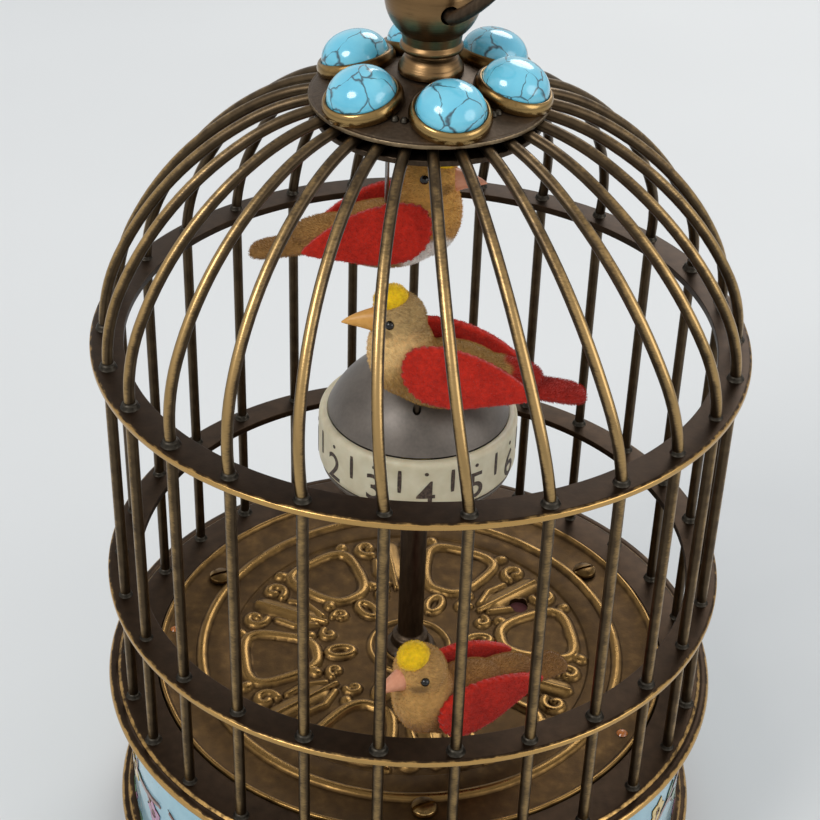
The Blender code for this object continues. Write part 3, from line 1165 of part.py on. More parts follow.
# Joint axes: an empty on each, parent of the pieces that turn or slide with it
AXES = {
    "carry_ring_axis": (holeAt, ("carry_ring",)),
    "hour_axis": ((0.0, 0.0, BALL_Z), ("hour_band", "ball_lower_cap", "hour_tube")),
    "rod_axis": ((0.0, 0.0, coreLow), ("push_rod",)),
    "ball_bird_axis": (ballFoot, ("ball_bird_body", "ball_bird_right_wing",
                                  "ball_bird_left_wing")),
    "floor_bird_axis": (floorFoot, ("floor_bird_body", "floor_bird_right_wing",
                                    "floor_bird_left_wing")),
    "hanger_axis": (hangTop, ("bird_hanger", "swing_bird_body",
                              "swing_bird_right_wing", "swing_bird_left_wing")),
    "barrel_axis": ((*barrelXY, barrelToothZ), ("spring_barrel", "mainspring")),
    "key_axis": ((*barrelXY, LOW_PLATE_Z), ("barrel_arbor", "winding_key")),
    "centre_axis": ((*centreXY, LOW_PLATE_Z), ("centre_wheel", "setting_knob")),
    "minute_axis": ((*minuteXY, highTop), ("minute_wheel",)),
    "third_axis": ((*thirdXY, LOW_PLATE_Z), ("third_wheel",)),
    "fourth_axis": ((*fourthXY, LOW_PLATE_Z), ("fourth_wheel",)),
    "escape_axis": ((*escapeXY, LOW_PLATE_Z), ("escape_wheel",)),
    "pallet_axis": ((*palletXY, LOW_PLATE_Z), ("pallet_lever",)),
    "balance_axis": ((*balanceXY, LOW_PLATE_Z), ("balance_wheel", "hairspring")),
    "lever_axis": (pinMid, ("bird_lever",)),
}
bpy.context.view_layer.update()
for axisName, (at, riders) in AXES.items():
    axis = bpy.data.objects.new(axisName, None)
    axis.location = at
    axis.empty_display_size = 3.0 * MM
    clock.objects.link(axis)
    bpy.context.view_layer.update()
    for rider in riders:
        piece = bpy.data.objects[rider]
        piece.parent = axis
        piece.matrix_parent_inverse = axis.matrix_world.inverted()
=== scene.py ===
import random
from math import acos, asin, atan2, cos, degrees, pi, radians, sin, sqrt, tan, tau

import bmesh
import bpy
import numpy as np
from mathutils import Matrix, Vector, noise


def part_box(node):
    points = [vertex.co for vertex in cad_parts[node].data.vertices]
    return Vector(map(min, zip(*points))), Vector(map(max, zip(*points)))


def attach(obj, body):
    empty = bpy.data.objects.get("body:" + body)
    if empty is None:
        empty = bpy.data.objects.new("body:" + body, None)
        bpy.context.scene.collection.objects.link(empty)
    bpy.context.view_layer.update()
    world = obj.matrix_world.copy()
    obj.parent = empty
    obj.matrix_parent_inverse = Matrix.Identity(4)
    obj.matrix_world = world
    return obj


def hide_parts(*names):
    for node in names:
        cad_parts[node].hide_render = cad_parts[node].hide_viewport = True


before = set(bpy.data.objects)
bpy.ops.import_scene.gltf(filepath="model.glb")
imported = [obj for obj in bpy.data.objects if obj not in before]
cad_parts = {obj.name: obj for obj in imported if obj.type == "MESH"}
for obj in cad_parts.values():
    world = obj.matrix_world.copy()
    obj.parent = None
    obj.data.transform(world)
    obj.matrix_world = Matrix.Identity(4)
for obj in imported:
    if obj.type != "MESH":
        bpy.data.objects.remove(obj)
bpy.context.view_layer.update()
mm = 0.001
print("frame loaded")


# Small helpers for colours, nodes and meshes
def hexColour(code):  # sRGB hex to linear
    values = [int(code[i:i + 2], 16) / 255 for i in (1, 3, 5)]
    linear = [v / 12.92 if v <= 0.04045 else ((v + 0.055) / 1.055) ** 2.4 for v in values]
    return (*linear, 1.0)


def setInputs(node, values):
    # a node among the values gives its first output in use, and a hex code its colour
    for key, value in values.items():
        if isinstance(value, bpy.types.Node):
            value = next(output for output in value.outputs if output.enabled)
        if isinstance(value, bpy.types.NodeSocket):
            node.id_data.links.new(value, node.inputs[key])
        elif isinstance(value, str) and value.startswith("#"):
            node.inputs[key].default_value = hexColour(value)
        else:
            node.inputs[key].default_value = value


def addNode(tree, kind, values=None, **settings):
    node = tree.nodes.new(kind)
    for name, value in settings.items():
        setattr(node, name, value)
    setInputs(node, values or {})
    return node


def newSurface(name, values):  # a material, its tree and its object coordinates
    surface = bpy.data.materials.new(name)
    surface.use_nodes = True
    tree = surface.node_tree
    tree.nodes.clear()
    shader = addNode(tree, "ShaderNodeBsdfPrincipled", values)
    addNode(tree, "ShaderNodeOutputMaterial", {"Surface": shader})
    return surface, tree, addNode(tree, "ShaderNodeTexCoord").outputs["Object"]


def dressed(surface, colour, gloss=None, height=None, strength=0.3, depth=0.05):
    tree = surface.node_tree
    looks = {"Base Color": colour}
    if gloss:
        looks["Roughness"] = gloss
    if height:
        looks["Normal"] = addNode(tree, "ShaderNodeBump", {
            "Strength": strength, "Distance": depth * mm, "Height": height})
    setInputs(tree.nodes["Principled BSDF"], looks)
    return surface


def mottled(name, values, size, detail, low, high):  # one cloudy colour between two
    surface, tree, spot = newSurface(name, values)
    cloud = addNode(tree, "ShaderNodeTexNoise", {
        "Vector": spot, "Scale": 1 / (size * mm), "Detail": detail})
    return dressed(surface, addNode(tree, "ShaderNodeMix", {0: cloud, 6: low, 7: high},
                                    data_type="RGBA"))


def polar(radius, azimuth):  # azimuth 0 is the front, turning toward +X
    a = radians(azimuth)
    return Vector((radius * sin(a), -radius * cos(a), 0.0))


def arc(centre, reach, first, last, count):  # points of an ellipse, angles in degrees
    turns = (radians(first + (last - first) * i / count) for i in range(count + 1))
    return [(centre[0] + reach[0] * cos(a), centre[1] + reach[1] * sin(a)) for a in turns]


def rounded(corners, closed=True, steps=4):
    # corners are (radius, height) or (radius, height, fillet) in mm
    points = []
    count = len(corners)
    for i, corner in enumerate(corners):
        here = Vector(corner[:2])
        fillet = corner[2] if len(corner) > 2 else 0.0
        if not fillet or (not closed and i in (0, count - 1)):
            points.append(here)
            continue
        back = Vector(corners[i - 1][:2]) - here
        ahead = Vector(corners[(i + 1) % count][:2]) - here
        start = here + back.normalized() * min(fillet, back.length * 0.49)
        end = here + ahead.normalized() * min(fillet, ahead.length * 0.49)
        for k in range(steps + 1):
            t = k / steps
            points.append(start * (1 - t) ** 2 + here * 2 * t * (1 - t) + end * t ** 2)
    return [(p[0] * mm, p[1] * mm) for p in points]


def turnedMesh(name, corners, steps=96, closed=True, detail=4):
    # corners in mm, down the outer side; points on the axis become single poles
    verts = []
    rings = []
    for radius, height in rounded(corners, closed, detail):
        first = len(verts)
        if radius < 1e-7:
            verts.append((0.0, 0.0, height))
            rings.append([first] * steps)
            continue
        for k in range(steps):
            a = tau * k / steps
            verts.append((radius * cos(a), radius * sin(a), height))
        rings.append(list(range(first, first + steps)))
    faces = []
    following = rings[1:] + ([rings[0]] if closed else [])
    for upper, lower in zip(rings, following):
        for k in range(steps):
            n = (k + 1) % steps
            ring = [upper[k], lower[k], lower[n], upper[n]]
            corners = [v for i, v in enumerate(ring) if v != ring[i - 1]]
            if len(corners) > 2:
                faces.append(corners)
    return facesOut(newMesh(name, verts, faces))


def newMesh(name, verts, faces, edges=()):
    mesh = bpy.data.meshes.new(name)
    mesh.from_pydata([tuple(v) for v in verts], edges, faces)
    return mesh


def newObject(name, data):
    thing = bpy.data.objects.new(name, data)
    bpy.context.scene.collection.objects.link(thing)
    return thing


def asMesh(bm, name):
    mesh = bpy.data.meshes.new(name)
    bm.to_mesh(mesh)
    bm.free()
    return mesh


def facesOut(mesh):
    bm = bmesh.new()
    bm.from_mesh(mesh)
    bmesh.ops.recalc_face_normals(bm, faces=bm.faces)
    bm.to_mesh(mesh)
    bm.free()
    return mesh


def loftMesh(name, rings, capped=True):  # rings of equal length, each a list of points
    count = len(rings[0])
    verts = [tuple(p) for ring in rings for p in ring]
    faces = []
    for i in range(len(rings) - 1):
        for k in range(count):
            n = (k + 1) % count
            faces.append((i * count + k, i * count + n, (i + 1) * count + n, (i + 1) * count + k))
    if capped:
        faces.append(tuple(reversed(range(count))))
        faces.append(tuple(range(len(verts) - count, len(verts))))
    return facesOut(newMesh(name, verts, faces))


def curveThrough(loop, steps=6, closed=True):  # smooth curve through points
    count = len(loop)
    points = []
    for i in range(count if closed else count - 1):
        near = [(i + j) % count if closed else max(0, min(count - 1, i + j)) for j in (-1, 0, 1, 2)]
        p = [Vector(loop[j]) for j in near]
        for k in range(steps):
            t = k / steps
            points.append(0.5 * (2 * p[1] + (p[2] - p[0]) * t
                                 + (2 * p[0] - 5 * p[1] + 4 * p[2] - p[3]) * t ** 2
                                 + (3 * p[1] - p[0] - 3 * p[2] + p[3]) * t ** 3))
    return points if closed else points + [Vector(loop[-1])]


def sweepMesh(name, points, radius, sides=12, closed=False):
    rings = []
    count = len(points)
    points = [Vector(p) for p in points]
    side = None
    for i, point in enumerate(points):
        before = points[i - 1] if (i or closed) else point
        after = points[(i + 1) % count] if (i < count - 1 or closed) else point
        along = (after - before).normalized()
        if side is None:
            side = along.orthogonal().normalized()
        side = (side - along * side.dot(along)).normalized()
        other = along.cross(side)
        rings.append([point + (side * cos(tau * k / sides)
                               + other * sin(tau * k / sides)) * radius
                      for k in range(sides)])
    return loftMesh(name, rings, not closed)


def joinedMesh(name, meshes):  # one mesh with all of them, material numbers kept
    bm = bmesh.new()
    for mesh in meshes:
        bm.from_mesh(mesh)
    return asMesh(bm, name)


def placedCopy(mesh, matrix):
    copy = mesh.copy()
    copy.transform(matrix)
    return copy


def evaluatedMesh(thing, name):  # modifiers applied, the helper object removed
    bpy.context.view_layer.update()
    graph = bpy.context.evaluated_depsgraph_get()
    mesh = bpy.data.meshes.new_from_object(thing.evaluated_get(graph))
    mesh.name = name
    bpy.data.objects.remove(thing, do_unlink=True)
    return mesh


def cutMesh(mesh, cutters, operation="DIFFERENCE"):
    thing = newObject("helper", mesh)
    tools = [newObject("helper", cutter) for cutter in cutters]
    for tool in tools:
        change = thing.modifiers.new("cut", "BOOLEAN")
        change.operation = operation
        change.solver = "EXACT"
        change.object = tool
    result = evaluatedMesh(thing, mesh.name)
    for tool in tools:
        bpy.data.objects.remove(tool, do_unlink=True)
    return result


def rodMesh(start, end, radius, sides=16):
    start, end = Vector(start), Vector(end)
    return sweepMesh("rod", [start, start.lerp(end, 0.5), end], radius, sides)


def uprightRod(spot, low, high, radius, sides=16):
    return rodMesh((spot.x, spot.y, low), (spot.x, spot.y, high), radius * mm, sides)


def film(name, meshes, thickness, offset):  # flat meshes given a thickness in mm
    thing = newObject("helper", joinedMesh(name, meshes))
    depth = thing.modifiers.new("depth", "SOLIDIFY")
    depth.thickness = thickness * mm
    depth.offset = offset
    return evaluatedMesh(thing, name)


def finishPiece(name, mesh, surface, body, nodes=(), sharp=35):
    piece = newObject(name, mesh)
    mesh.materials.clear()
    mesh.materials.append(surface)
    mesh.shade_smooth()
    mesh.set_sharp_from_angle(angle=radians(sharp))
    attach(piece, body)
    if nodes:
        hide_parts(*nodes)


def numbered(name, count):
    return ["%s_%d" % (name, i + 1) for i in range(count)]


def movedBy(spot):  # spot in mm
    return Matrix.Translation(Vector(spot) * mm)


def turnedBy(angle, axis):  # angle in degrees
    return Matrix.Rotation(radians(angle), 4, axis)


def newTree(name, inputs):  # geometry node group with a geometry and named inputs
    tree = bpy.data.node_groups.new(name, "GeometryNodeTree")
    tree.interface.new_socket("Geometry", in_out="INPUT", socket_type="NodeSocketGeometry")
    kinds = {int: "NodeSocketInt", float: "NodeSocketFloat", tuple: "NodeSocketVector"}
    for label, value in inputs.items():
        tree.interface.new_socket(label, in_out="INPUT",
                                  socket_type=kinds[type(value)]).default_value = value
    tree.interface.new_socket("Geometry", in_out="OUTPUT", socket_type="NodeSocketGeometry")
    return tree, addNode(tree, "NodeGroupInput").outputs


def treeMesh(name, source, tree, values=()):  # plain mesh that the tree makes from source
    thing = newObject("helper", source)
    change = thing.modifiers.new(name, "NODES")
    change.node_group = tree
    for socket in tree.interface.items_tree:
        if socket.name in values:
            change[socket.identifier] = values[socket.name]
    return evaluatedMesh(thing, name)


# Camera, floor and light
view = {"fieldPixels": 1801.38, "framePixels": 820, "place": (0.0, -282.0, 293.94),
        "down": 33.96, "yaw": -0.32, "roll": 1.92, "sensor": 36.0, "near": 0.01}
light = {"floor": "#dcdad6", "mottle": "#e2e0dc", "backdrop": "#e9e8e6", "world": "#c9d2dc",
         "worldStrength": 0.8, "aim": (0.0, 0.0, 0.11), "floorHalf": 6.0, "cloud": 1000 / 9,
         "lamps": (("key", 5.0, (-0.55, -0.50, 0.85), 0.45),
                   ("fill", 2.1, (0.75, -0.35, 0.45), 0.6),
                   ("rim", 3.0, (0.25, 0.75, 0.70), 0.5))}


def makeCamera():
    yaw, down, roll = (radians(view[k]) for k in ("yaw", "down", "roll"))
    ahead = Vector((sin(yaw) * cos(down), cos(yaw) * cos(down), -sin(down)))
    right = Vector((cos(yaw), -sin(yaw), 0.0))
    up = right.cross(ahead)
    turnedRight = right * cos(roll) + up * sin(roll)
    turnedUp = up * cos(roll) - right * sin(roll)
    camera = newObject("camera", bpy.data.cameras.new("camera"))
    camera.data.sensor_width = view["sensor"]
    camera.data.lens = view["sensor"] * view["fieldPixels"] / view["framePixels"]
    camera.data.clip_start = view["near"]
    camera.matrix_world = movedBy(view["place"]) @ Matrix(
        (turnedRight, turnedUp, -ahead)).transposed().to_4x4()
    bpy.context.scene.camera = camera


def makeStage():
    size = light["floorHalf"]
    mesh = newMesh("floor", [(-size, -size, 0.0), (size, -size, 0.0), (size, size, 0.0),
                             (-size, size, 0.0)], [(0, 1, 2, 3)])
    # matt painted board: pale, no gloss, a very faint mottle
    mesh.materials.append(mottled("mattBoard", {"Roughness": 0.9}, light["cloud"], 2.0,
                                  light["floor"], light["mottle"]))
    newObject("floor", mesh)


def makeLight():
    world = bpy.data.worlds.new("studio")
    bpy.context.scene.world = world
    world.use_nodes = True
    tree = world.node_tree
    tree.nodes.clear()
    path = addNode(tree, "ShaderNodeLightPath").outputs
    room, seen = (addNode(tree, "ShaderNodeBackground", {"Color": hexColour(light[name]),
                                                         "Strength": strength})
                  for name, strength in (("world", light["worldStrength"]), ("backdrop", 1.0)))
    direct = path["Is Camera Ray"]
    for ray in ("Is Glossy Ray", "Is Transmission Ray"):
        direct = addNode(tree, "ShaderNodeMath", {0: direct, 1: path[ray]}, operation="MAXIMUM")
    both = addNode(tree, "ShaderNodeMixShader", {0: direct, 1: room, 2: seen})
    addNode(tree, "ShaderNodeOutputWorld", {"Surface": both})
    for name, power, spot, size in light["lamps"]:
        data = bpy.data.lights.new(name, "AREA")
        data.shape = "DISK"
        data.size = size
        data.energy = power
        lamp = newObject(name, data)
        lamp.location = spot
        aim = Vector(light["aim"]) - Vector(spot)
        lamp.rotation_euler = aim.to_track_quat("-Z", "Y").to_euler()
    bpy.context.scene.view_settings.view_transform = "Standard"


makeCamera()
makeStage()
makeLight()
print("camera, floor and light")


# Sizes of the cage, in mm, and its metals
cage = {"wires": 27, "wireRadius": 1.0, "standRadius": 57.4, "firstWire": -84.7, "foot": 46.0,
        "shoulder": 123.0, "midBand": 71.7, "bandInner": 53.9, "bandOuter": 60.0,
        "bandThick": 1.4, "shoulderArc": 31.4, "shoulderTurn": 26.3, "domeArc": 61.4,
        "domeEnd": 58.5, "crownBend": 5.0, "wireEnd": 15.8, "underPlate": 2.17,
        # the last two entries: height bands above the shoulder, in mm, where the wires turn
        # brighter up the dome and darker near the crown
        "solderRadius": 1.38, "twist": -6.5, "brightening": (-2.0, 9.0), "crownDarkening": (24.0, 46.0)}


def wornMetal(name, look):
    # drawn or spun brass under a dark patina: the outward side and the edges are rubbed bright,
    # in patches, and the outward side (tilted upward on the dome) is also lightened as a painted
    # highlight; fine marks run round each wire
    surface, tree, spot = newSurface(name, {"Metallic": 1.0, "Roughness": 0.35})
    above = addNode(tree, "ShaderNodeVectorMath", {
        0: spot, 1: (0.0, 0.0, cage["shoulder"] * mm)}, operation="SUBTRACT")
    kept = addNode(tree, "ShaderNodeVectorMath", {0: above, 1: (-1.0, -1.0, 0.0)},
                   operation="MAXIMUM")
    level = addNode(tree, "ShaderNodeVectorMath", {
        0: kept, 1: (1.0, 1.0, look.get("arch", 0.0))}, operation="MULTIPLY")
    outward = addNode(tree, "ShaderNodeVectorMath", {0: level}, operation="NORMALIZE")
    # painted highlight: the more squarely a face looks outward (upward too, on the dome), the
    # lighter it is made, also standing for rubbing
    facing = addNode(tree, "ShaderNodeVectorMath", {
        0: outward, 1: spot.node.outputs["Normal"]}, operation="DOT_PRODUCT")
    patches = addNode(tree, "ShaderNodeTexNoise", {
        "Vector": spot, "Scale": 1 / (look["patch"] * mm), "Detail": 5.0})
    drawn = addNode(tree, "ShaderNodeMapping", {0: spot, 3: look["stretch"]})
    marks = addNode(tree, "ShaderNodeTexNoise", {
        "Vector": drawn, "Scale": 1 / (look["mark"] * mm), "Detail": 3.0})
    brightShare = facing
    for pattern, amount in ((patches, look["patchy"]), (marks, look["marky"])):
        brightShare = addNode(tree, "ShaderNodeMath", {0: pattern, 1: amount, 2: brightShare},
                         operation="MULTIPLY_ADD")
    up = addNode(tree, "ShaderNodeSeparateXYZ", {0: above}).outputs["Z"]
    # brighter up the dome and darker near the crown, by height alone
    dome, crownward = (
        addNode(tree, "ShaderNodeMapRange", {0: up, 1: low * mm, 2: high * mm, 4: most})
        for (low, high), most in ((cage["brightening"], look.get("domeGain", 0.0)),
                                  (cage["crownDarkening"], look.get("crownLoss", 0.0))))
    heightShift = addNode(tree, "ShaderNodeMath", {0: dome, 1: crownward}, operation="SUBTRACT")
    brightening = addNode(tree, "ShaderNodeMath", {0: brightShare, 1: heightShift}, operation="ADD")
    highlightAndWear = addNode(tree, "ShaderNodeMapRange", {0: brightening, 1: look["from"], 2: look["to"]},
                   interpolation_type="SMOOTHSTEP")
    tone = addNode(tree, "ShaderNodeMix", {0: patches, 6: look["dark"], 7: look["middle"]},
                   data_type="RGBA")
    colour = addNode(tree, "ShaderNodeMix", {0: highlightAndWear, 6: tone, 7: look["bright"]},
                     data_type="RGBA")
    gloss = addNode(tree, "ShaderNodeMapRange", {0: highlightAndWear, 3: look["dull"], 4: look["shiny"]})
    return dressed(surface, colour, gloss, marks, look["bump"])


wireBronze = wornMetal("patinatedDrawnBronze", {
    "dark": "#30271e", "middle": "#64543f", "bright": "#a98b5c", "patch": 2.4, "patchy": 0.5,
    "mark": 0.8, "marky": 0.5, "stretch": (1.0, 1.0, 3.5), "from": 1.2, "to": 1.8,
    "arch": 0.3, "domeGain": 0.42, "crownLoss": 0.4, "dull": 0.38, "shiny": 0.28, "bump": 0.3})
bandBronze = wornMetal("patinatedBronzeStrip", {
    "dark": "#231b14", "middle": "#413225", "bright": "#b9945a", "patch": 2.2, "patchy": 0.7,
    "mark": 0.8, "marky": 0.4, "stretch": (1.0, 1.0, 4.0), "from": 0.95, "to": 1.35,
    "dull": 0.45, "shiny": 0.25, "bump": 0.35})
plateBronze = wornMetal("patinatedSpunBronze", {
    "dark": "#3a3027", "middle": "#625446", "bright": "#8c7a5f", "patch": 0.7, "patchy": 0.8,
    "mark": 0.45, "marky": 0.5, "stretch": (1.0, 1.0, 1.0), "from": 1.15, "to": 1.7,
    "dull": 0.5, "shiny": 0.33, "bump": 0.8})
turnedBrass = wornMetal("antiqueTurnedBrass", {
    "dark": "#231a13", "middle": "#403225", "bright": "#7d6242", "patch": 3.0, "patchy": 0.7,
    "mark": 2.2, "marky": 1.0, "stretch": (0.4, 0.4, 9.0), "from": 1.1, "to": 1.9,
    "dull": 0.42, "shiny": 0.3, "bump": 0.55})
bezelBrass = wornMetal("polishedBezelBrass", {
    "dark": "#46331b", "middle": "#6b5330", "bright": "#9c8052", "patch": 1.3, "patchy": 0.7,
    "mark": 0.5, "marky": 0.3, "stretch": (1.0, 1.0, 1.0), "from": 0.5, "to": 1.4,
    "dull": 0.32, "shiny": 0.2, "bump": 0.25})


def plainMetal(name, low, high, mark, stretch, gloss):
    # rolled, turned or plated metal inside the drum: even colour with fine tool marks
    surface, tree, spot = newSurface(name, {"Metallic": 1.0, "Roughness": 0.3})
    drawn = addNode(tree, "ShaderNodeMapping", {0: spot, 3: stretch})
    marks = addNode(tree, "ShaderNodeTexNoise", {
        "Vector": drawn, "Scale": 1 / (mark * mm), "Detail": 4.0})
    colour = addNode(tree, "ShaderNodeMix", {0: marks, 6: low, 7: high}, data_type="RGBA")
    shine = addNode(tree, "ShaderNodeMapRange", {0: marks, 3: gloss - 0.06, 4: gloss + 0.08})
    return dressed(surface, colour, shine, marks, 0.3, 0.03)


gearBrass = plainMetal("brushedGearBrass", "#a5803a", "#d9b566", 0.5, (1.0, 6.0, 1.0), 0.3)
rodSteel = plainMetal("groundSteel", "#7d7c7a", "#b3b2b0", 0.4, (1.0, 1.0, 5.0), 0.28)
springSteel = plainMetal("bluedSpringSteel", "#26344f", "#4a5f86", 0.6, (1.0, 1.0, 1.0), 0.25)
columnMetal = plainMetal("darkenedColumnMetal", "#2c241d", "#5c4d3e", 0.7, (1.0, 1.0, 0.2), 0.42)
solderMetal = plainMetal("softSolder", "#211e1a", "#4d4840", 0.5, (1.0, 1.0, 1.0), 0.42)
print("metals")


# Cage of bent wires between flat bands
crown = {"edgeRadius": 20.6, "edge": 168.7, "thick": 0.8, "slope": 14.8, "flat": 6.0,
         "stoneAzimuths": (14.0, 76.0, 132.0, 188.0, 243.0, 310.0), "stoneRing": 14.1,
         "stoneRadius": 5.85, "stoneHeight": 5.5, "bezelInner": 6.15, "bezelWall": 0.65,
         "bezelHeight": 2.3, "bore": 2.3, "stoneLow": 0.9, "beadOut": 1.2, "beadTurn": 29.0,
         "clampFlat": 14.8, "clampRadius": 19.6}
slope = tan(radians(crown["slope"]))


def crownTop(radius):
    return crown["edge"] + (crown["edgeRadius"] - max(radius, crown["flat"])) * slope


def wirePath():  # one wire in the X-Z plane, in mm, from the base ring to the crown
    points = [(cage["standRadius"], cage["foot"] + (cage["shoulder"] - cage["foot"]) * i / 8)
              for i in range(9)]
    tight, dome, turn = (cage[name] for name in ("shoulderArc", "domeArc", "shoulderTurn"))
    points += arc((cage["standRadius"] - tight, cage["shoulder"]), (tight, tight), 0.0, turn, 8)[1:]
    middle = (points[-1][0] - dome * cos(radians(turn)), points[-1][1] - dome * sin(radians(turn)))
    points += arc(middle, (dome, dome), turn, cage["domeEnd"], 14)[1:]
    lean = 1.0 / tan(radians(cage["domeEnd"]))
    under = crown["edge"] + crown["edgeRadius"] * slope - cage["underPlate"]
    x, z = points[-1]
    meet = (z + x * lean - under) / (lean - slope)  # radius where dome and crown lines cross
    bend = ((x, z), (meet, under - meet * slope),
            (meet - cage["crownBend"], under - (meet - cage["crownBend"]) * slope))
    for i in range(1, 9):  # an easy bend to lie along the crown plate
        t = i / 8
        points.append(tuple(a * (1 - t) ** 2 + 2 * b * t * (1 - t) + c * t * t
                            for a, b, c in zip(*bend)))
    points.append((cage["wireEnd"], under - cage["wireEnd"] * slope))
    path = []
    for x, z in points:
        inward = (cage["standRadius"] - x) / (cage["standRadius"] - cage["wireEnd"])
        twist = radians(cage["twist"]) * sqrt(max(inward, 0.0))
        path.append(Vector((x * cos(twist), x * sin(twist), z)) * mm)
    return path


def roundPoints(tree, given):  # as many points as asked for, and the turn of each about Z
    points = addNode(tree, "GeometryNodePoints", {"Count": given["Count"]})
    number = addNode(tree, "GeometryNodeInputIndex")
    share = addNode(tree, "ShaderNodeMath", {0: number, 1: given["Count"]}, operation="DIVIDE")
    turn = addNode(tree, "ShaderNodeMath", {0: share, 1: tau, 2: given["First Turn"]},
                   operation="MULTIPLY_ADD")
    return points, turn


def endTree(tree, things, surface):
    real = addNode(tree, "GeometryNodeRealizeInstances", {0: things})
    dressing = addNode(tree, "GeometryNodeSetMaterial", {"Geometry": real, "Material": surface})
    addNode(tree, "NodeGroupOutput", {"Geometry": dressing})
    return tree


def makeCageWires():
    path = wirePath()
    source = newMesh("wirePath", path, [], [(i, i + 1) for i in range(len(path) - 1)])
    tree, given = newTree("cageWires", {
        "Count": cage["wires"], "First Turn": radians(cage["firstWire"] - 90.0),
        "Radius": cage["wireRadius"] * mm, "Sides": 16})
    curve = addNode(tree, "GeometryNodeMeshToCurve", {"Mesh": given["Geometry"]})
    circle = addNode(tree, "GeometryNodeCurvePrimitiveCircle", {"Resolution": given["Sides"],
                                                                "Radius": given["Radius"]})
    wire = addNode(tree, "GeometryNodeCurveToMesh", {"Curve": curve, "Profile Curve": circle,
                                                     "Fill Caps": True})
    points, turn = roundPoints(tree, given)
    ring = addNode(tree, "GeometryNodeInstanceOnPoints", {
        "Points": points, "Instance": wire,
        "Rotation": addNode(tree, "ShaderNodeCombineXYZ", {"Z": turn})})
    mesh = facesOut(treeMesh("cageWires", source, endTree(tree, ring, wireBronze)))
    finishPiece("cageWires", mesh, wireBronze, "base", ("cage",))


def makeCageBands():
    for name, top in (("shoulderBand", cage["shoulder"]), ("midBand", cage["midBand"])):
        low = top - cage["bandThick"]
        inner = cage["bandInner"]
        outer = cage["bandOuter"]
        corners = [
            (inner, top, 0.15), (outer - 0.55, top, 0.1), (outer - 0.3, top - 0.12, 0.1),
            (outer, top - 0.3, 0.3), (outer, low + 0.2, 0.3), (outer - 0.3, low, 0.2),
            (inner, low, 0.15)]
        finishPiece(name, turnedMesh(name, corners, 256), bandBronze, "base")


def makeSolderCollars():  # the small grey blobs that hold each wire to each band
    blob = turnedMesh("blob", [(0.0, 1.0), (cage["wireRadius"] + 0.2, 0.9, 0.3),
                               (cage["solderRadius"], 0.25, 0.3),
                               (cage["solderRadius"] + 0.25, -0.1), (0.0, -0.1)], 12, False, 2)
    tree, given = newTree("solderCollars", {
        "Count": cage["wires"], "First Turn": radians(cage["firstWire"] - 90.0),
        "Ring Radius": cage["standRadius"] * mm, "Seed": 0})
    points, turn = roundPoints(tree, given)
    across, ahead = (addNode(tree, "ShaderNodeMath", {0: turn}, operation=kind)
                     for kind in ("COSINE", "SINE"))
    spot = addNode(tree, "ShaderNodeCombineXYZ", {"X": across, "Y": ahead})
    reach = addNode(tree, "ShaderNodeVectorMath", {0: spot, "Scale": given["Ring Radius"]},
                    operation="SCALE")
    moved = addNode(tree, "GeometryNodeSetPosition", {"Geometry": points, "Position": reach})
    size = addNode(tree, "FunctionNodeRandomValue", {2: 0.8, 3: 1.15, "Seed": given["Seed"]})
    lump = addNode(tree, "GeometryNodeInstanceOnPoints", {
        "Points": moved, "Instance": given["Geometry"], "Scale": size.outputs[1]})
    endTree(tree, lump, solderMetal)
    rings = []
    for seed, height in enumerate((cage["shoulder"], cage["midBand"], cage["foot"] - 0.25)):
        ring = treeMesh("solderCollars", blob.copy(), tree, {"Seed": seed})
        rings.append(placedCopy(ring, movedBy((0.0, 0.0, height))))
    finishPiece("solderCollars", joinedMesh("solderCollars", rings), solderMetal, "base",
                (), 60)


makeCageWires()
makeCageBands()
makeSolderCollars()
print("cage")


# Crown plate with six bezels and turquoise stones
def turquoiseStone():
    # dyed and polished turquoise: soft blue with thin grey-brown spider-web veins
    surface, tree, spot = newSurface("polishedTurquoise", {
        "Roughness": 0.16, "IOR": 1.6, "Coat Weight": 0.35, "Coat Roughness": 0.08})
    warp = addNode(tree, "ShaderNodeTexNoise", {
        "Vector": spot, "Scale": 1 / (4.0 * mm), "Detail": 3.0}).outputs["Color"]
    middled = addNode(tree, "ShaderNodeVectorMath", {0: warp, 1: (0.5, 0.5, 0.5)},
                      operation="SUBTRACT")
    shift = addNode(tree, "ShaderNodeVectorMath", {0: middled, "Scale": 3.4 * mm},
                    operation="SCALE")
    bent = addNode(tree, "ShaderNodeVectorMath", {0: spot, 1: shift}, operation="ADD")
    web = addNode(tree, "ShaderNodeTexVoronoi", {"Vector": bent, "Scale": 1 / (5.4 * mm)},
                  feature="DISTANCE_TO_EDGE")
    uneven = addNode(tree, "ShaderNodeTexNoise", {"Vector": spot, "Scale": 1 / (3.0 * mm)})
    width = addNode(tree, "ShaderNodeMapRange", {0: uneven, 1: 0.38, 2: 0.68, 3: 0.008, 4: 0.09})
    vein = addNode(tree, "ShaderNodeMapRange", {0: web, 2: width, 3: 1.0, 4: 0.0},
                   interpolation_type="SMOOTHSTEP")
    cloud = addNode(tree, "ShaderNodeTexNoise", {
        "Vector": spot, "Scale": 1 / (5.0 * mm), "Detail": 4.0})
    blue = addNode(tree, "ShaderNodeMix", {0: cloud, 6: "#45b0cf", 7: "#8bdbea"},
                   data_type="RGBA")
    return dressed(surface, addNode(tree, "ShaderNodeMix", {0: vein, 6: blue, 7: "#35505a"},
                                    data_type="RGBA"))


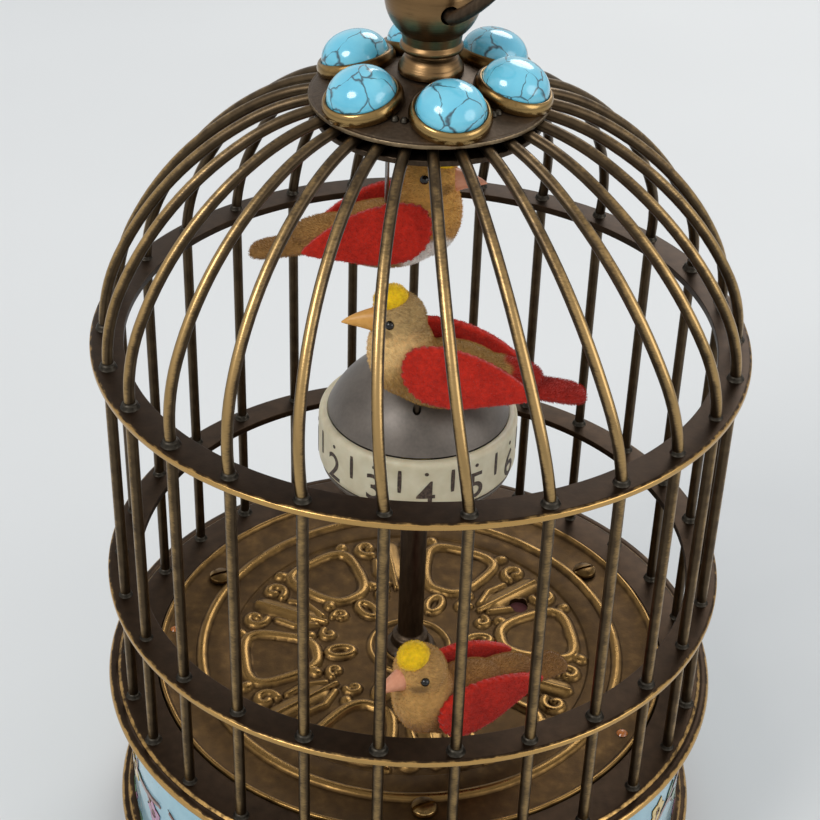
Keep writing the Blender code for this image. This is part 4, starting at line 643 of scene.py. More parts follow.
def makeCrown():
    top = crownTop(0.0)
    edge = crown["edge"]
    outer = crown["edgeRadius"]
    thick = crown["thick"]
    bore = crown["bore"]
    plate = turnedMesh("plate", [
        (bore, top), (crown["flat"], top, 1.0), (outer - 0.7, edge + 0.7 * slope, 0.15),
        (outer - 0.45, edge + 0.55 * slope - 0.12, 0.1), (outer, edge, 0.25),
        (outer, edge - thick, 0.25), (crown["flat"], top - thick, 0.6), (bore, top - thick)], 192)
    finishPiece("crownPlate", plate, plateBronze, "base", ("crown_plate",))
    inner = crown["bezelInner"]
    wall = crown["bezelWall"]
    tall = crown["bezelHeight"]
    bezel = turnedMesh("bezel", [
        (inner - 0.42, tall - 0.3, 0.1), (inner - 0.1, tall + 0.1, 0.25),
        (inner + wall * 0.6, tall - 0.1, 0.45), (inner + wall + 0.2, tall * 0.5, 0.7),
        (inner + wall, 0.0, 0.3), (inner - 0.4, -0.1), (inner - 0.4, 0.9)], 72)
    foot = crown["stoneLow"]
    profile = [(0.0, foot), (crown["stoneRadius"], foot)]
    for i in range(15):
        a = radians(90.0 * i / 14)
        radius = crown["stoneRadius"] * cos(a) ** 0.92 if i < 14 else 0.0
        profile.append((radius, foot + 1.0 + (crown["stoneHeight"] - 1.0) * sin(a)))
    stone = turnedMesh("stone", profile[::-1], 64, False)
    bead = turnedMesh("bead", [(0.0, 0.75), (0.5, 0.6, 0.3), (0.75, 0.0), (0.0, -0.1)], 12,
                      False, 3)
    tilt = radians(crown["slope"])
    bezels, stones, beads = [], [], []
    for azimuth in crown["stoneAzimuths"]:
        spot = polar(crown["stoneRing"], azimuth)
        level = Vector((cos(radians(azimuth)), sin(radians(azimuth)), 0.0))
        spot.z = crownTop(crown["stoneRing"]) - 0.3
        place = movedBy(spot) @ Matrix.Rotation(tilt, 4, level)
        bezels.append(placedCopy(bezel, place))
        stones.append(placedCopy(stone, place))
        for side in (-1.0, 1.0):
            ring = crown["stoneRing"] + crown["beadOut"]
            spot = polar(ring, azimuth + side * crown["beadTurn"])
            spot.z = crownTop(ring)
            beads.append(placedCopy(bead, movedBy(spot)))
    finishPiece("bezels", joinedMesh("bezels", bezels), bezelBrass, "base")
    finishPiece("stones", joinedMesh("stones", stones), turquoiseStone(), "base",
                numbered("cabochon", 6), 60)
    finishPiece("crownSolder", joinedMesh("crownSolder", beads), solderMetal, "base")
    drop = cage["underPlate"] + 1.3 / cos(tilt)
    low = crownTop(cage["wireEnd"]) - drop
    flat, reach = crown["clampFlat"], crown["clampRadius"]
    rim = crownTop(reach) - drop
    clamp = turnedMesh("clamp", [
        (bore, low), (flat, low, 0.5), (reach, rim, 0.2), (reach, rim - 1.0, 0.2),
        (flat, low - 1.0, 0.5), (bore, low - 1.0)], 128)
    finishPiece("crownClamp", clamp, columnMetal, "base", ("crown_clamp_disc",))


# Finial with its cross hole, and the carry ring in it
finial = {"low": 156.5, "ballRadius": 8.1, "ball": 186.0, "hole": 185.3,
          "holeRadius": 1.6, "holeAzimuth": 20.5, "ringWire": 1.15, "ringLoop": 15.0,
          "ringLean": 38.0}


def makeFinial():
    foot = crownTop(0.0) + 0.3
    low = finial["low"]
    corners = [(0.0, low), (2.0, low), (2.0, foot), (5.6, foot, 0.15), (5.55, foot + 0.8, 0.4),
               (4.6, foot + 2.5, 0.6), (4.0, foot + 3.0, 0.2), (3.7, foot + 3.4, 0.2),
               (4.1, foot + 3.6, 0.1), (5.2, foot + 3.9, 0.35), (5.4, foot + 4.6, 0.35),
               (5.0, foot + 5.2, 0.25), (4.9, foot + 5.35, 0.1)]
    corners += arc((0.0, finial["ball"]), [finial["ballRadius"]] * 2, -50.0, 90.0, 20)
    body = turnedMesh("finial", corners[::-1], 96, False)
    across = polar(1.0, finial["holeAzimuth"])
    centre = Vector((0.0, 0.0, finial["hole"])) * mm
    reach = (finial["ballRadius"] + 2.0) * mm
    hole = rodMesh(centre - across * reach, centre + across * reach, finial["holeRadius"] * mm, 24)
    finishPiece("finial", cutMesh(body, [hole]), turnedBrass, "base", ("finial",))
    side = polar(1.0, finial["holeAzimuth"] + 90.0)
    lean = radians(finial["ringLean"])
    upward = side * sin(lean) + Vector((0.0, 0.0, 1.0)) * cos(lean)
    pin = finial["ballRadius"] + 1.9
    loop = finial["ringLoop"]
    rise = sqrt(loop ** 2 - pin ** 2)
    start = atan2(-rise, pin)
    path = [centre + across * (1.2 * mm), centre + across * ((pin - 2.2) * mm),
            centre + across * ((pin - 1.0) * mm)]
    for i in range(49):
        a = start + (pi - 2 * start) * i / 48
        path.append(centre + (upward * (rise + loop * sin(a) + 0.8)
                              + across * loop * cos(a)) * mm)
    path += [centre - across * ((pin - 1.0) * mm), centre - across * ((pin - 2.2) * mm),
             centre - across * (1.2 * mm)]
    ring = sweepMesh("carryRing", path, finial["ringWire"] * mm, 16)
    finishPiece("carryRing", ring, columnMetal, "carry_ring", ("carry_ring",), 60)


makeCrown()
makeFinial()
print("crown and finial")


# Ball clock: fixed dome, turning number band and lower cap
ball = {"radius": 18.6, "centre": 97.9, "wall": 1.2, "bandTop": 104.8, "bandLow": 94.5,
        "bandRadius": 18.8, "bandWall": 1.7, "capDepth": 6.0, "numeralHeight": 5.6,
        "numeralWidth": 3.6, "numeralMiddle": 98.3, "dotHeight": 102.7, "dotSize": 0.75,
        "tickTop": 103.2, "tickLength": 4.9, "tickWidth": 0.75, "firstNumeral": 6.0,
        "printLift": 0.05, "bore": 1.5, "collar": 45.2}


def satinGrey():
    # lead-grey satin lacquer over spun brass, with faint cloudy wear
    surface, tree, spot = newSurface("leadGreyLacquer", {
        "Metallic": 0.35, "Roughness": 0.42, "Coat Weight": 0.15, "Coat Roughness": 0.35})
    speck = addNode(tree, "ShaderNodeTexNoise", {"Vector": spot, "Scale": 1 / (0.6 * mm)})
    cloud = addNode(tree, "ShaderNodeTexNoise", {
        "Vector": spot, "Scale": 1 / (6.0 * mm), "Detail": 6.0})
    both = addNode(tree, "ShaderNodeMath", {0: speck, 1: 0.35, 2: cloud},
                   operation="MULTIPLY_ADD")
    colour = addNode(tree, "ShaderNodeMix", {0: both, 6: "#332e29", 7: "#786e64"},
                     data_type="RGBA")
    return dressed(surface, colour, None, speck, 0.2, 0.03)


def agedIvory():
    # moulded ivory-coloured plastic, a little yellowed and unevenly soiled
    return mottled("agedIvoryPlastic", {
        "Roughness": 0.45, "Subsurface Weight": 0.08, "Subsurface Scale": 0.6 * mm},
                   3.5, 6.0, "#b6a57e", "#e4dabe")


def brownInk():
    # brown-black printing ink, thin in places so that the ivory shows through
    surface, tree, spot = newSurface("brownPrintingInk", {"Roughness": 0.55})
    speck = addNode(tree, "ShaderNodeTexNoise", {
        "Vector": spot, "Scale": 1 / (0.5 * mm), "Detail": 3.0})
    thin = addNode(tree, "ShaderNodeMapRange", {0: speck, 1: 0.45, 2: 0.8})
    return dressed(surface, addNode(tree, "ShaderNodeMix", {0: thin, 6: "#33231a", 7: "#6d5946"},
                                    data_type="RGBA"))


def numeralMesh(number):  # flat numeral in mm, centred, cut fine enough to bend
    text = bpy.data.curves.new("numeral", "FONT")
    text.body = str(number)
    text.size = ball["numeralHeight"] / 0.7
    text.align_x = "CENTER"
    text.resolution_u = 6
    text.offset = 0.04
    mesh = evaluatedMesh(newObject("helper", text), "numeral")
    bm = bmesh.new()
    bm.from_mesh(mesh)
    bmesh.ops.triangulate(bm, faces=bm.faces)
    long = [edge for edge in bm.edges if edge.calc_length() > 1.2]
    bmesh.ops.subdivide_edges(bm, edges=long, cuts=2)
    bmesh.ops.triangulate(bm, faces=bm.faces)
    bm.to_mesh(mesh)
    bm.free()
    high = max(v.co.y for v in mesh.vertices)
    low = min(v.co.y for v in mesh.vertices)
    wide = max(abs(v.co.x) for v in mesh.vertices)
    squeeze = min(1.0, ball["numeralWidth"] / 2 / wide) if number < 10 else 0.62
    for v in mesh.vertices:
        v.co.x *= squeeze
        v.co.y -= (high + low) / 2
    return mesh


def wrapFlat(mesh, azimuth, height, radius):  # lays a flat mesh in mm on the band
    for v in mesh.vertices:
        spot = polar(radius, azimuth + degrees(v.co.x / radius))
        v.co = Vector((spot.x, spot.y, height + v.co.y)) * mm
    return mesh


def barMesh(width, length):
    bm = bmesh.new()
    bmesh.ops.create_grid(bm, x_segments=2, y_segments=6, size=0.5)
    bmesh.ops.scale(bm, vec=(width, length, 1.0), verts=bm.verts)
    for v in bm.verts:  # a hair narrower at the ends
        v.co.x *= 1.0 - 0.25 * (2 * v.co.y / length) ** 4
    return asMesh(bm, "bar")


def discMesh(radius):
    bm = bmesh.new()
    bmesh.ops.create_circle(bm, cap_ends=True, segments=16, radius=radius)
    return asMesh(bm, "disc")


def makeBallClock():
    grey = satinGrey()
    foot = ball["bandTop"] + 0.3 - ball["centre"]
    outside, inside = (arc((0.0, ball["centre"]), (radius, radius), degrees(asin(foot / radius)),
                           degrees(acos(ball["bore"] / radius)), 24)
                       for radius in (ball["radius"], ball["radius"] - ball["wall"]))
    dome = turnedMesh("dome", outside[::-1] + inside, 128)
    finger = birdPlace(birds["ball"]) @ (Vector(perch["rod"]) * mm)
    hole = uprightRod(finger, 0.105, 0.125, perch["hole"])
    finishPiece("ballDome", cutMesh(dome, [hole]), grey, "base",
                ("ball_dome",), 50)
    makePost("ballBirdPost", birds["ball"], 0.1135)

    outer = ball["bandRadius"]
    wall = ball["bandWall"]
    top = ball["bandTop"]
    bottom = ball["bandLow"]
    band = turnedMesh("hourBand", [
        (outer - wall, top, 0.2), (outer - 0.75, top, 0.3), (outer - 0.12, top - 0.45, 0.5),
        (outer, top - 1.6, 0.8), (outer, bottom + 0.8, 0.5), (outer - 0.45, bottom, 0.3),
        (outer - wall, bottom, 0.2)], 160)
    finishPiece("hourBand", band, agedIvory(), "hour", ("hour_band",))
    marks = []
    face = outer + ball["printLift"]
    for number in range(1, 13):
        azimuth = ball["firstNumeral"] + 30.0 * (number - 4)
        marks.append(wrapFlat(numeralMesh(number), azimuth, ball["numeralMiddle"], face))
        marks.append(wrapFlat(discMesh(ball["dotSize"] / 2), azimuth, ball["dotHeight"], face))
        tick = barMesh(ball["tickWidth"], ball["tickLength"])
        middle = ball["tickTop"] - ball["tickLength"] / 2
        marks.append(wrapFlat(tick, azimuth + 15.0, middle, face))
    finishPiece("hourPrint", film("hourPrint", marks, 0.04, 0.0), brownInk(), "hour")

    capTop = bottom - 0.3
    capRadius = outer - 0.5
    corners = [(capRadius - 1.0, capTop), (capRadius, capTop - 0.2, 0.2)]
    deep = ball["capDepth"]
    corners += arc((0.0, capTop), (capRadius, deep), 0.0, -72.0, 12)[1:]
    corners += [(2.2, capTop - deep), (2.2, capTop - 1.2), (4.1, capTop - 1.2),
                (4.1, capTop - deep + 1.4), (capRadius * 0.62, capTop - deep * 0.55)]
    finishPiece("ballCap", turnedMesh("ballCap", corners, 128), grey, "hour",
                ("ball_lower_cap",), 50)

    sleeveTop = capTop - deep - 0.3
    collar = ball["collar"]
    column = turnedMesh("column", [
        (2.2, sleeveTop), (2.6, sleeveTop, 0.15), (2.6, collar + 4.4, 0.3),
        (3.1, collar + 3.9, 0.3), (3.7, collar + 3.6, 0.3), (3.9, collar + 1.6, 0.4),
        (4.9, collar + 1.1, 0.4), (5.2, collar + 0.6, 0.2), (5.2, collar, 0.1), (2.2, collar)], 64)
    finishPiece("column", column, columnMetal, "base", ("column",))


# Birds: where each stands, in mm, with its heading and its nose-up pitch
birds = {
    "swing": {"body": "swing_bird", "at": (-8.2, 9.0, 138.4), "heading": -8.0, "pitch": 7.0,
              "redTail": False, "seed": 3},
    "ball": {"body": "ball_bird", "at": (5.6, -11.3, 121.5), "heading": 186.0, "pitch": 4.0,
             "redTail": True, "seed": 8},
    "floor": {"body": "floor_bird", "at": (10.2, -28.4, 60.6), "heading": 217.0, "pitch": 1.0,
              "redTail": False, "seed": 14},
}


perch = {"foot": (1.0, 0.0, -1.5), "rod": (5.8, 0.0, -1.5), "gap": 0.8, "post": 0.7, "hole": 0.8,
         "hanger": 0.4}


def birdPlace(bird):
    return movedBy(bird["at"]) @ turnedBy(bird["heading"], "Z") @ turnedBy(-bird["pitch"], "Y")


def makePost(name, bird, low):  # the pin that a standing bird sits on
    foot = birdPlace(bird) @ (Vector(perch["foot"]) * mm)
    pin = uprightRod(foot, low, foot.z - perch["gap"] * mm, perch["post"])
    finishPiece(name, pin, gearBrass, "base")


makeBallClock()
print("ball clock")


# Tray with its embossed scrollwork
tray = {"top": 44.9, "low": 43.8, "bore": 2.9, "floor": 37.0, "bead": 42.7, "radius": 51.6,
        "turns": 640, "relief": 0.95, "holeRadius": 2.0, "holeRing": 27.0, "holeAzimuth": 122.0,
        "screwRing": 45.7, "screwAzimuths": (4.7, 124.7, 244.7), "firstFrame": 280.0,
        "frameRing": 26.7, "frameReach": 7.4, "frameHalf": 6.6, "frameTaper": 2.2,
        "frameBar": 1.05, "bossRing": 14.4, "feltTop": 44.35,
        "slot": (6.0, 0.7, 1.4), "drops": ((48.3, 61.0, 1.0), (49.1, -92.8, 0.8))}


def spiral(centre, start, end, turnStart, turns, steps=26):  # points in mm, radius eased
    points = []
    for i in range(steps):
        t = i / (steps - 1)
        a = radians(turnStart + 360.0 * turns * t)
        radius = start + (end - start) * t
        points.append((centre[0] + radius * cos(a), centre[1] + radius * sin(a)))
    return points


def trayStrokes():
    # one sector of 60 degrees about a frame, one side of its middle line (the X axis):
    # polylines in mm with their half width and their height
    strokes = []
    loop = []
    for i in range(41):
        a = radians(180.0 * i / 40)
        square = (abs(cos(a)) ** 3.2 + abs(sin(a)) ** 3.2) ** (-1 / 3.2)
        along = cos(a) * square
        half = tray["frameHalf"] + tray["frameTaper"] * along
        loop.append((tray["frameRing"] + tray["frameReach"] * along, half * sin(a) * square))
    strokes.append((loop, tray["frameBar"], 1.0))
    strokes.append((arc((tray["bossRing"], 0.0), (2.6, 1.5), 0.0, 180.0, 12), 0.8, 0.95))
    strokes.append(([(34.3, 8.0), (34.6, 8.3)], 1.15, 1.0))  # knobs on the frame's corners
    strokes.append(([(20.3, 5.5), (20.0, 5.7)], 1.1, 1.0))
    middle = radians(30.0)
    across = (-sin(middle), cos(middle))
    along = (cos(middle), sin(middle))

    def spot(r, s):
        return (along[0] * r + across[0] * s, along[1] * r + across[1] * s)

    strokes.append(([spot(19.0, 0), spot(34.6, 0)], 0.6, 1.0))  # leaf between two frames
    strokes.append(([spot(23.5, 0), spot(32.8, 0)], 2.0, 0.75))
    strokes.append(([spot(20.5, -1.6), spot(24.5, -3.6), spot(28.5, -3.3)], 0.75, 0.8))
    strokes.append((spiral(spot(33.0, -4.7), 2.5, 0.6, -170.0, 0.9), 0.85, 0.95))
    strokes.append((spiral(spot(16.8, -3.1), 1.7, 0.5, 60.0, -0.8), 0.7, 0.85))
    return strokes


def strokeHeight(x, y, strokes):
    height = np.zeros_like(x)
    for points, half, tall in strokes:
        nearest = np.full_like(x, 99.0)
        for (ax, ay), (bx, by) in zip(points[:-1], points[1:]):
            dx, dy = bx - ax, by - ay
            length = max(dx * dx + dy * dy, 1e-9)
            t = np.clip(((x - ax) * dx + (y - ay) * dy) / length, 0.0, 1.0)
            nearest = np.minimum(nearest, np.hypot(x - ax - t * dx, y - ay - t * dy))
        share = np.clip(1.0 - (nearest / (half * 1.25)) ** 2, 0.0, 1.0)
        height = np.maximum(height, tall * np.sqrt(share))
    return height


def trayPattern(radius, angle):  # height of the relief, 0 to 1, on grids of polar values
    sector = radians(60.0)
    turned = angle - radians(tray["firstFrame"])
    folded = np.abs((turned + sector / 2) % sector - sector / 2)
    x = radius * np.cos(folded)
    y = radius * np.sin(folded)
    height = strokeHeight(x, y, trayStrokes())
    for ring, half in ((8.2, 0.7), (5.0, 0.5)):
        share = np.clip(1.0 - ((radius - ring) / half) ** 2, 0.0, 1.0)
        height = np.maximum(height, 0.7 * np.sqrt(share))
    fade = np.clip((36.9 - radius) / 0.4, 0.0, 1.0) * np.clip((radius - 3.9) / 0.5, 0.0, 1.0)
    return height * fade


def makeTray():
    floor = tray["floor"]
    bead = tray["bead"]
    edge = tray["radius"]
    radii = list(np.arange(tray["bore"] + 0.15, floor - 0.35, 0.31))
    rows = [(tray["bore"], -0.12)] + [(r, 0.0) for r in radii]
    rows += [(floor - 0.3, 0.0), (floor - 0.12, 0.1), (floor, 0.3), (floor + 0.15, 0.35)]
    rows += [(bead - 2.7, 0.37), (bead - 1.25, 0.35)]
    rows += arc((bead, 0.35), (1.15, 0.85), 180.0, 0.0, 8)[1:-1]
    rows += [(bead + 1.25, 0.35), (bead + 3.6, 0.38), (edge - 1.5, 0.36), (edge - 1.15, 0.5),
             (edge - 0.85, 1.05), (edge - 0.6, 1.28), (edge - 0.2, 1.28), (edge, 1.1)]
    turns = tray["turns"]
    ringR = np.array([r for r, h in rows])
    ringH = np.array([h for r, h in rows])
    angle = np.arange(turns) * tau / turns
    grid, turn = np.meshgrid(ringR, angle, indexing="ij")
    relief = trayPattern(grid, turn)
    height = tray["top"] + ringH[:, None] + tray["relief"] * relief
    x = grid * np.sin(turn)
    y = -grid * np.cos(turn)
    points = np.stack([x, y, height], -1).reshape(-1, 3)
    lows = []
    for r in (edge, tray["bore"]):
        lows.append(np.stack([r * np.sin(angle), -r * np.cos(angle),
                              np.full(turns, tray["low"])], -1))
    points = np.concatenate([points] + lows) * mm
    count = len(rows) + 2
    faces = [(i * turns + k, i * turns + n, after * turns + n, after * turns + k)
             for i, after in ((i, (i + 1) % count) for i in range(count))
             for k, n in ((k, (k + 1) % turns) for k in range(turns))]
    mesh = newMesh("tray", points.tolist(), faces)
    brightShare = np.maximum(relief, np.clip(ringH - 0.4, 0.0, 0.8)[:, None])
    values = np.concatenate([brightShare.reshape(-1), np.zeros(2 * turns)])
    mesh.attributes.new("relief", "FLOAT", "POINT").data.foreach_set("value", values)
    facesOut(mesh)
    well = polar(tray["holeRing"], tray["holeAzimuth"]) * mm
    hole = uprightRod(well, 0.042, 0.048, tray["holeRadius"], 32)
    finishPiece("tray", cutMesh(mesh, [hole]), embossedBrass(), "base",
                ("tray",), 60)
    inner, high = tray["holeRadius"] - 0.05, tray["feltTop"]
    # red felt at the bottom of the hole, coloured darker as painted shade
    dark = turnedMesh("well", [(0.0, high), (inner, high), (inner, 43.9), (0.0, 43.9)], 32, False)
    finishPiece("trayFelt", placedCopy(dark, Matrix.Translation(well)), redFelt(), "base")
    screw = turnedMesh("screw", [
        (0.0, 46.8), (1.6, 46.68), (2.35, 46.3, 0.2), (2.5, 45.6, 0.15), (0.9, 45.6), (0.9, 41.2),
        (0.0, 40.8)], 40, False)
    bm = bmesh.new()
    bmesh.ops.create_cube(bm, size=1.0)
    bmesh.ops.transform(bm, verts=bm.verts, matrix=(
        movedBy((0.0, 0.0, 46.9)) @ turnedBy(25.0, "Z")
        @ Matrix.Diagonal((*(s * mm for s in tray["slot"]), 1.0))))
    slotted = cutMesh(screw, [asMesh(bm, "slot")])
    screws = [placedCopy(slotted, movedBy(polar(tray["screwRing"], azimuth)))
              for azimuth in tray["screwAzimuths"]]
    finishPiece("trayScrews", joinedMesh("screws", screws), bezelBrass, "base",
                numbered("tray_screw", 3))
    drop = turnedMesh("drop", [(0.0, 0.7), (0.7, 0.5, 0.5), (1.1, 0.05), (0.0, -0.05)], 20,
                      False, 5)
    drops = []
    for ring, azimuth, size in tray["drops"]:
        spot = polar(ring, azimuth) + Vector((0.0, 0.0, tray["top"] + 0.37))
        drops.append(placedCopy(drop, movedBy(spot) @ Matrix.Scale(size, 4)))
    finishPiece("lacquerDrops", joinedMesh("drops", drops), amberLacquer(), "base")


def embossedBrass():
    # stamped brass: the relief is rubbed bright, the ground round it stays dark brown
    surface, tree, spot = newSurface("embossedBrass", {"Metallic": 1.0, "Roughness": 0.35})
    high = addNode(tree, "ShaderNodeAttribute", attribute_name="relief").outputs["Fac"]
    patches = addNode(tree, "ShaderNodeTexNoise", {
        "Vector": spot, "Scale": 1 / (2.6 * mm), "Detail": 4.0})
    both = addNode(tree, "ShaderNodeMath", {0: patches, 1: 0.9, 2: high},
                   operation="MULTIPLY_ADD")
    brightShare = addNode(tree, "ShaderNodeMapRange", {0: both, 1: 0.45, 2: 1.35},
                     interpolation_type="SMOOTHSTEP")
    ground = addNode(tree, "ShaderNodeMix", {0: patches, 6: "#30241a", 7: "#634b2c"},
                     data_type="RGBA")
    colour = addNode(tree, "ShaderNodeMix", {0: brightShare, 6: ground, 7: "#86683c"},
                     data_type="RGBA")
    gloss = addNode(tree, "ShaderNodeMapRange", {0: brightShare, 3: 0.5, 4: 0.27})
    grain = addNode(tree, "ShaderNodeTexNoise", {"Vector": spot, "Scale": 1 / (0.35 * mm)})
    return dressed(surface, colour, gloss, grain, 0.45)


def amberLacquer():
    # hardened drops of orange-brown lacquer
    return mottled("amberLacquerDrop", {"Roughness": 0.12, "Coat Weight": 0.6,
                                        "Coat Roughness": 0.05}, 1.2, 2.0, "#8a3d12", "#d9822e")


def flockedCotton():
    # short fibres, colour from the mesh attribute, slightly mottled, with a soft sheen
    surface, tree, spot = newSurface("flockedCotton", {
        "Roughness": 0.95, "Sheen Weight": 0.35, "Sheen Roughness": 0.4,
        "Specular IOR Level": 0.2})
    given = addNode(tree, "ShaderNodeAttribute", attribute_name="colour")
    speck = addNode(tree, "ShaderNodeTexNoise", {
        "Vector": spot, "Scale": 1 / (0.9 * mm), "Detail": 4.0})
    share = addNode(tree, "ShaderNodeMapRange", {0: speck, 1: 0.3, 2: 0.7, 3: 0.78, 4: 1.12})
    return dressed(surface, addNode(tree, "ShaderNodeVectorMath", {0: given, "Scale": share},
                                    operation="SCALE"))


def redFelt():
    # dyed red wool felt under the hole, its colour darkened as painted shade from the hole
    return mottled("redWoolFeltInShade", {"Roughness": 0.95, "Sheen Weight": 0.3}, 0.4, 4.0,
                   "#330806", "#66160f")


flock = flockedCotton()
makeTray()
print("tray")


# Base: top ring, enamelled drum, foot ring, feet, bottom cover, winding key, setting knob
base = {"drumRadius": 58.0, "drumTop": 41.7, "drumLow": 12.7, "drumWall": 1.2,
        "footRing": 53.5, "footAzimuths": (45.0, 135.0, 225.0, 315.0), "keySpot": (-20.62, 12.33),
        "knobSpot": (0.0, 20.0), "branches": 7, "artLift": -0.01, "seed": 21, "outline": 0.22,
        "twig": 4.6, "leafRow": 12.6, "rowLeaves": 72, "enamel": 0.12}


def enamelBlue():
    # opaque light-blue enamel fired over copper, with small pits and cloudy tone
    surface, tree, spot = newSurface("lightBlueEnamel", {
        "Roughness": 0.2, "Coat Weight": 0.5, "Coat Roughness": 0.08})
    cloud = addNode(tree, "ShaderNodeTexNoise", {
        "Vector": spot, "Scale": 1 / (7.0 * mm), "Detail": 5.0})
    pits = addNode(tree, "ShaderNodeTexVoronoi", {"Vector": spot, "Scale": 1 / (2.2 * mm)})
    pit = addNode(tree, "ShaderNodeMapRange", {0: pits, 1: 0.03, 2: 0.09, 3: 1.0, 4: 0.0})
    tone = addNode(tree, "ShaderNodeMix", {0: cloud, 6: "#6f9fb0", 7: "#a5cdd6"},
                   data_type="RGBA")
    colour = addNode(tree, "ShaderNodeMix", {0: pit, 6: tone, 7: "#4b6873"}, data_type="RGBA")
    return dressed(surface, colour, None, cloud, 0.15, 0.06)


def enamelColour(name, dark, bright):
    # glossy enamel fill, darker where it pools
    return mottled(name, {"Roughness": 0.2, "Coat Weight": 0.5, "Coat Roughness": 0.08},
                   1.6, 3.0, dark, bright)


def filledShape(loop):  # flat face in mm from its outline
    return newMesh("shape", [(x, y, 0.0) for x, y in loop], [list(range(len(loop)))])


def ribbonShape(line, width):  # flat strip in mm along a line, narrower at its ends
    points = [Vector(p) for p in line]
    left, right = [], []
    for i, point in enumerate(points):
        ahead = (points[min(i + 1, len(points) - 1)] - points[max(i - 1, 0)]).normalized()
        side = Vector((-ahead.y, ahead.x))
        half = width * (0.35 + 0.65 * sin(pi * (i + 0.5) / len(points))) / 2
        left.append(point + side * half)
        right.append(point - side * half)
    count = len(points)
    return newMesh("ribbon", [(p.x, p.y, 0.0) for p in left + right],
                   [(i, i + 1, count + i + 1, count + i) for i in range(count - 1)])


def outlineShape(loop, width):  # flat closed strip in mm round an outline
    inner = [Vector(p) for p in loop]
    count = len(inner)
    middle = sum(inner, Vector((0.0, 0.0))) / count
    outer = [p + (p - middle).normalized() * width for p in inner]
    faces = [(i, (i + 1) % count, count + (i + 1) % count, count + i) for i in range(count)]
    return newMesh("outline", [(p.x, p.y, 0.0) for p in inner + outer], faces)


def leafLoop(spot, turn, length, width, steps=7):
    loop = []
    for side in (1.0, -1.0):
        for i in range(steps):
            t = i / steps if side > 0 else 1.0 - i / steps
            x = length * t
            y = side * width / 2 * sin(pi * t ** 0.8)
            c, s = cos(turn), sin(turn)
            loop.append((spot[0] + x * c - y * s, spot[1] + x * s + y * c))
    return loop


def drumArt():
    # generic flowering branches round the drum, sorted by enamel colour
    random.seed(base["seed"])
    shapes = {"wire": [], "branch": [], "leaf": [], "plum": [], "yellow": [], "white": []}
    middle = (base["drumTop"] + base["drumLow"]) / 2
    around = tau * base["drumRadius"]

    def add(kind, loop):
        shapes[kind].append(filledShape(loop))
        shapes["wire"].append(outlineShape(loop, base["outline"]))

    for k in range(base["branches"]):
        start = around * k / base["branches"]
        length = around / base["branches"] * 0.93
        lean = 1.0 if k % 2 else -1.0
        line = []
        for i in range(15):
            t = i / 14
            rise = lean * (8.5 * (t - 0.5) + 2.4 * sin(5.5 * t))
            line.append((start + length * t, rise))
        shapes["branch"].append(ribbonShape(line, 1.5))
        shapes["wire"].append(ribbonShape([(x, y + 0.85) for x, y in line],
                                          base["outline"]))
        for i in (2, 4, 6, 8, 10, 12):
            spot = line[i]
            side = 1.0 if i % 4 else -1.0
            turn = lean * 0.5 + side * random.uniform(0.7, 1.2)
            twig = [(spot[0] + t * cos(turn), spot[1] + t * sin(turn))
                    for t in (0.0, base["twig"] * 0.4, base["twig"] * 0.8, base["twig"])]
            shapes["branch"].append(ribbonShape(twig, 0.8))
            end = twig[-1]
            if i in (4, 10):
                add("leaf", leafLoop(end, turn, 5.2, 2.2))
                add("leaf", leafLoop(spot, turn - side * 1.3, 4.6, 2.0))
            else:
                kind = ("plum", "yellow")[(k + i // 4) % 2]
                size = random.uniform(2.5, 3.2)
                for p in range(5):
                    a = tau * p / 5 + turn
                    add(kind, leafLoop((end[0] + 0.5 * cos(a), end[1] + 0.5 * sin(a)),
                                       a, size, size * 0.85, 6))
                add("white", arc(end, (0.7, 0.7), 0.0, 360.0, 10)[:-1])
    for row in (-base["leafRow"], base["leafRow"]):  # small leaves along each edge
        for q in range(base["rowLeaves"]):
            turn = 0.5 if q % 2 else -0.5
            add("leaf" if q % 3 else "plum",
                leafLoop((around * q / base["rowLeaves"], row), turn, 3.4, 1.3, 5))
    lift = {"wire": 0.13, "branch": 0.09, "leaf": 0.07, "plum": 0.08, "yellow": 0.08,
            "white": 0.11}
    films = {}
    for kind, flats in shapes.items():
        radius = base["drumRadius"] + base["artLift"] + lift[kind]
        films[kind] = film(kind, [wrapFlat(flat, 0.0, middle, radius) for flat in flats],
                           base["enamel"], -1.0)
    return films


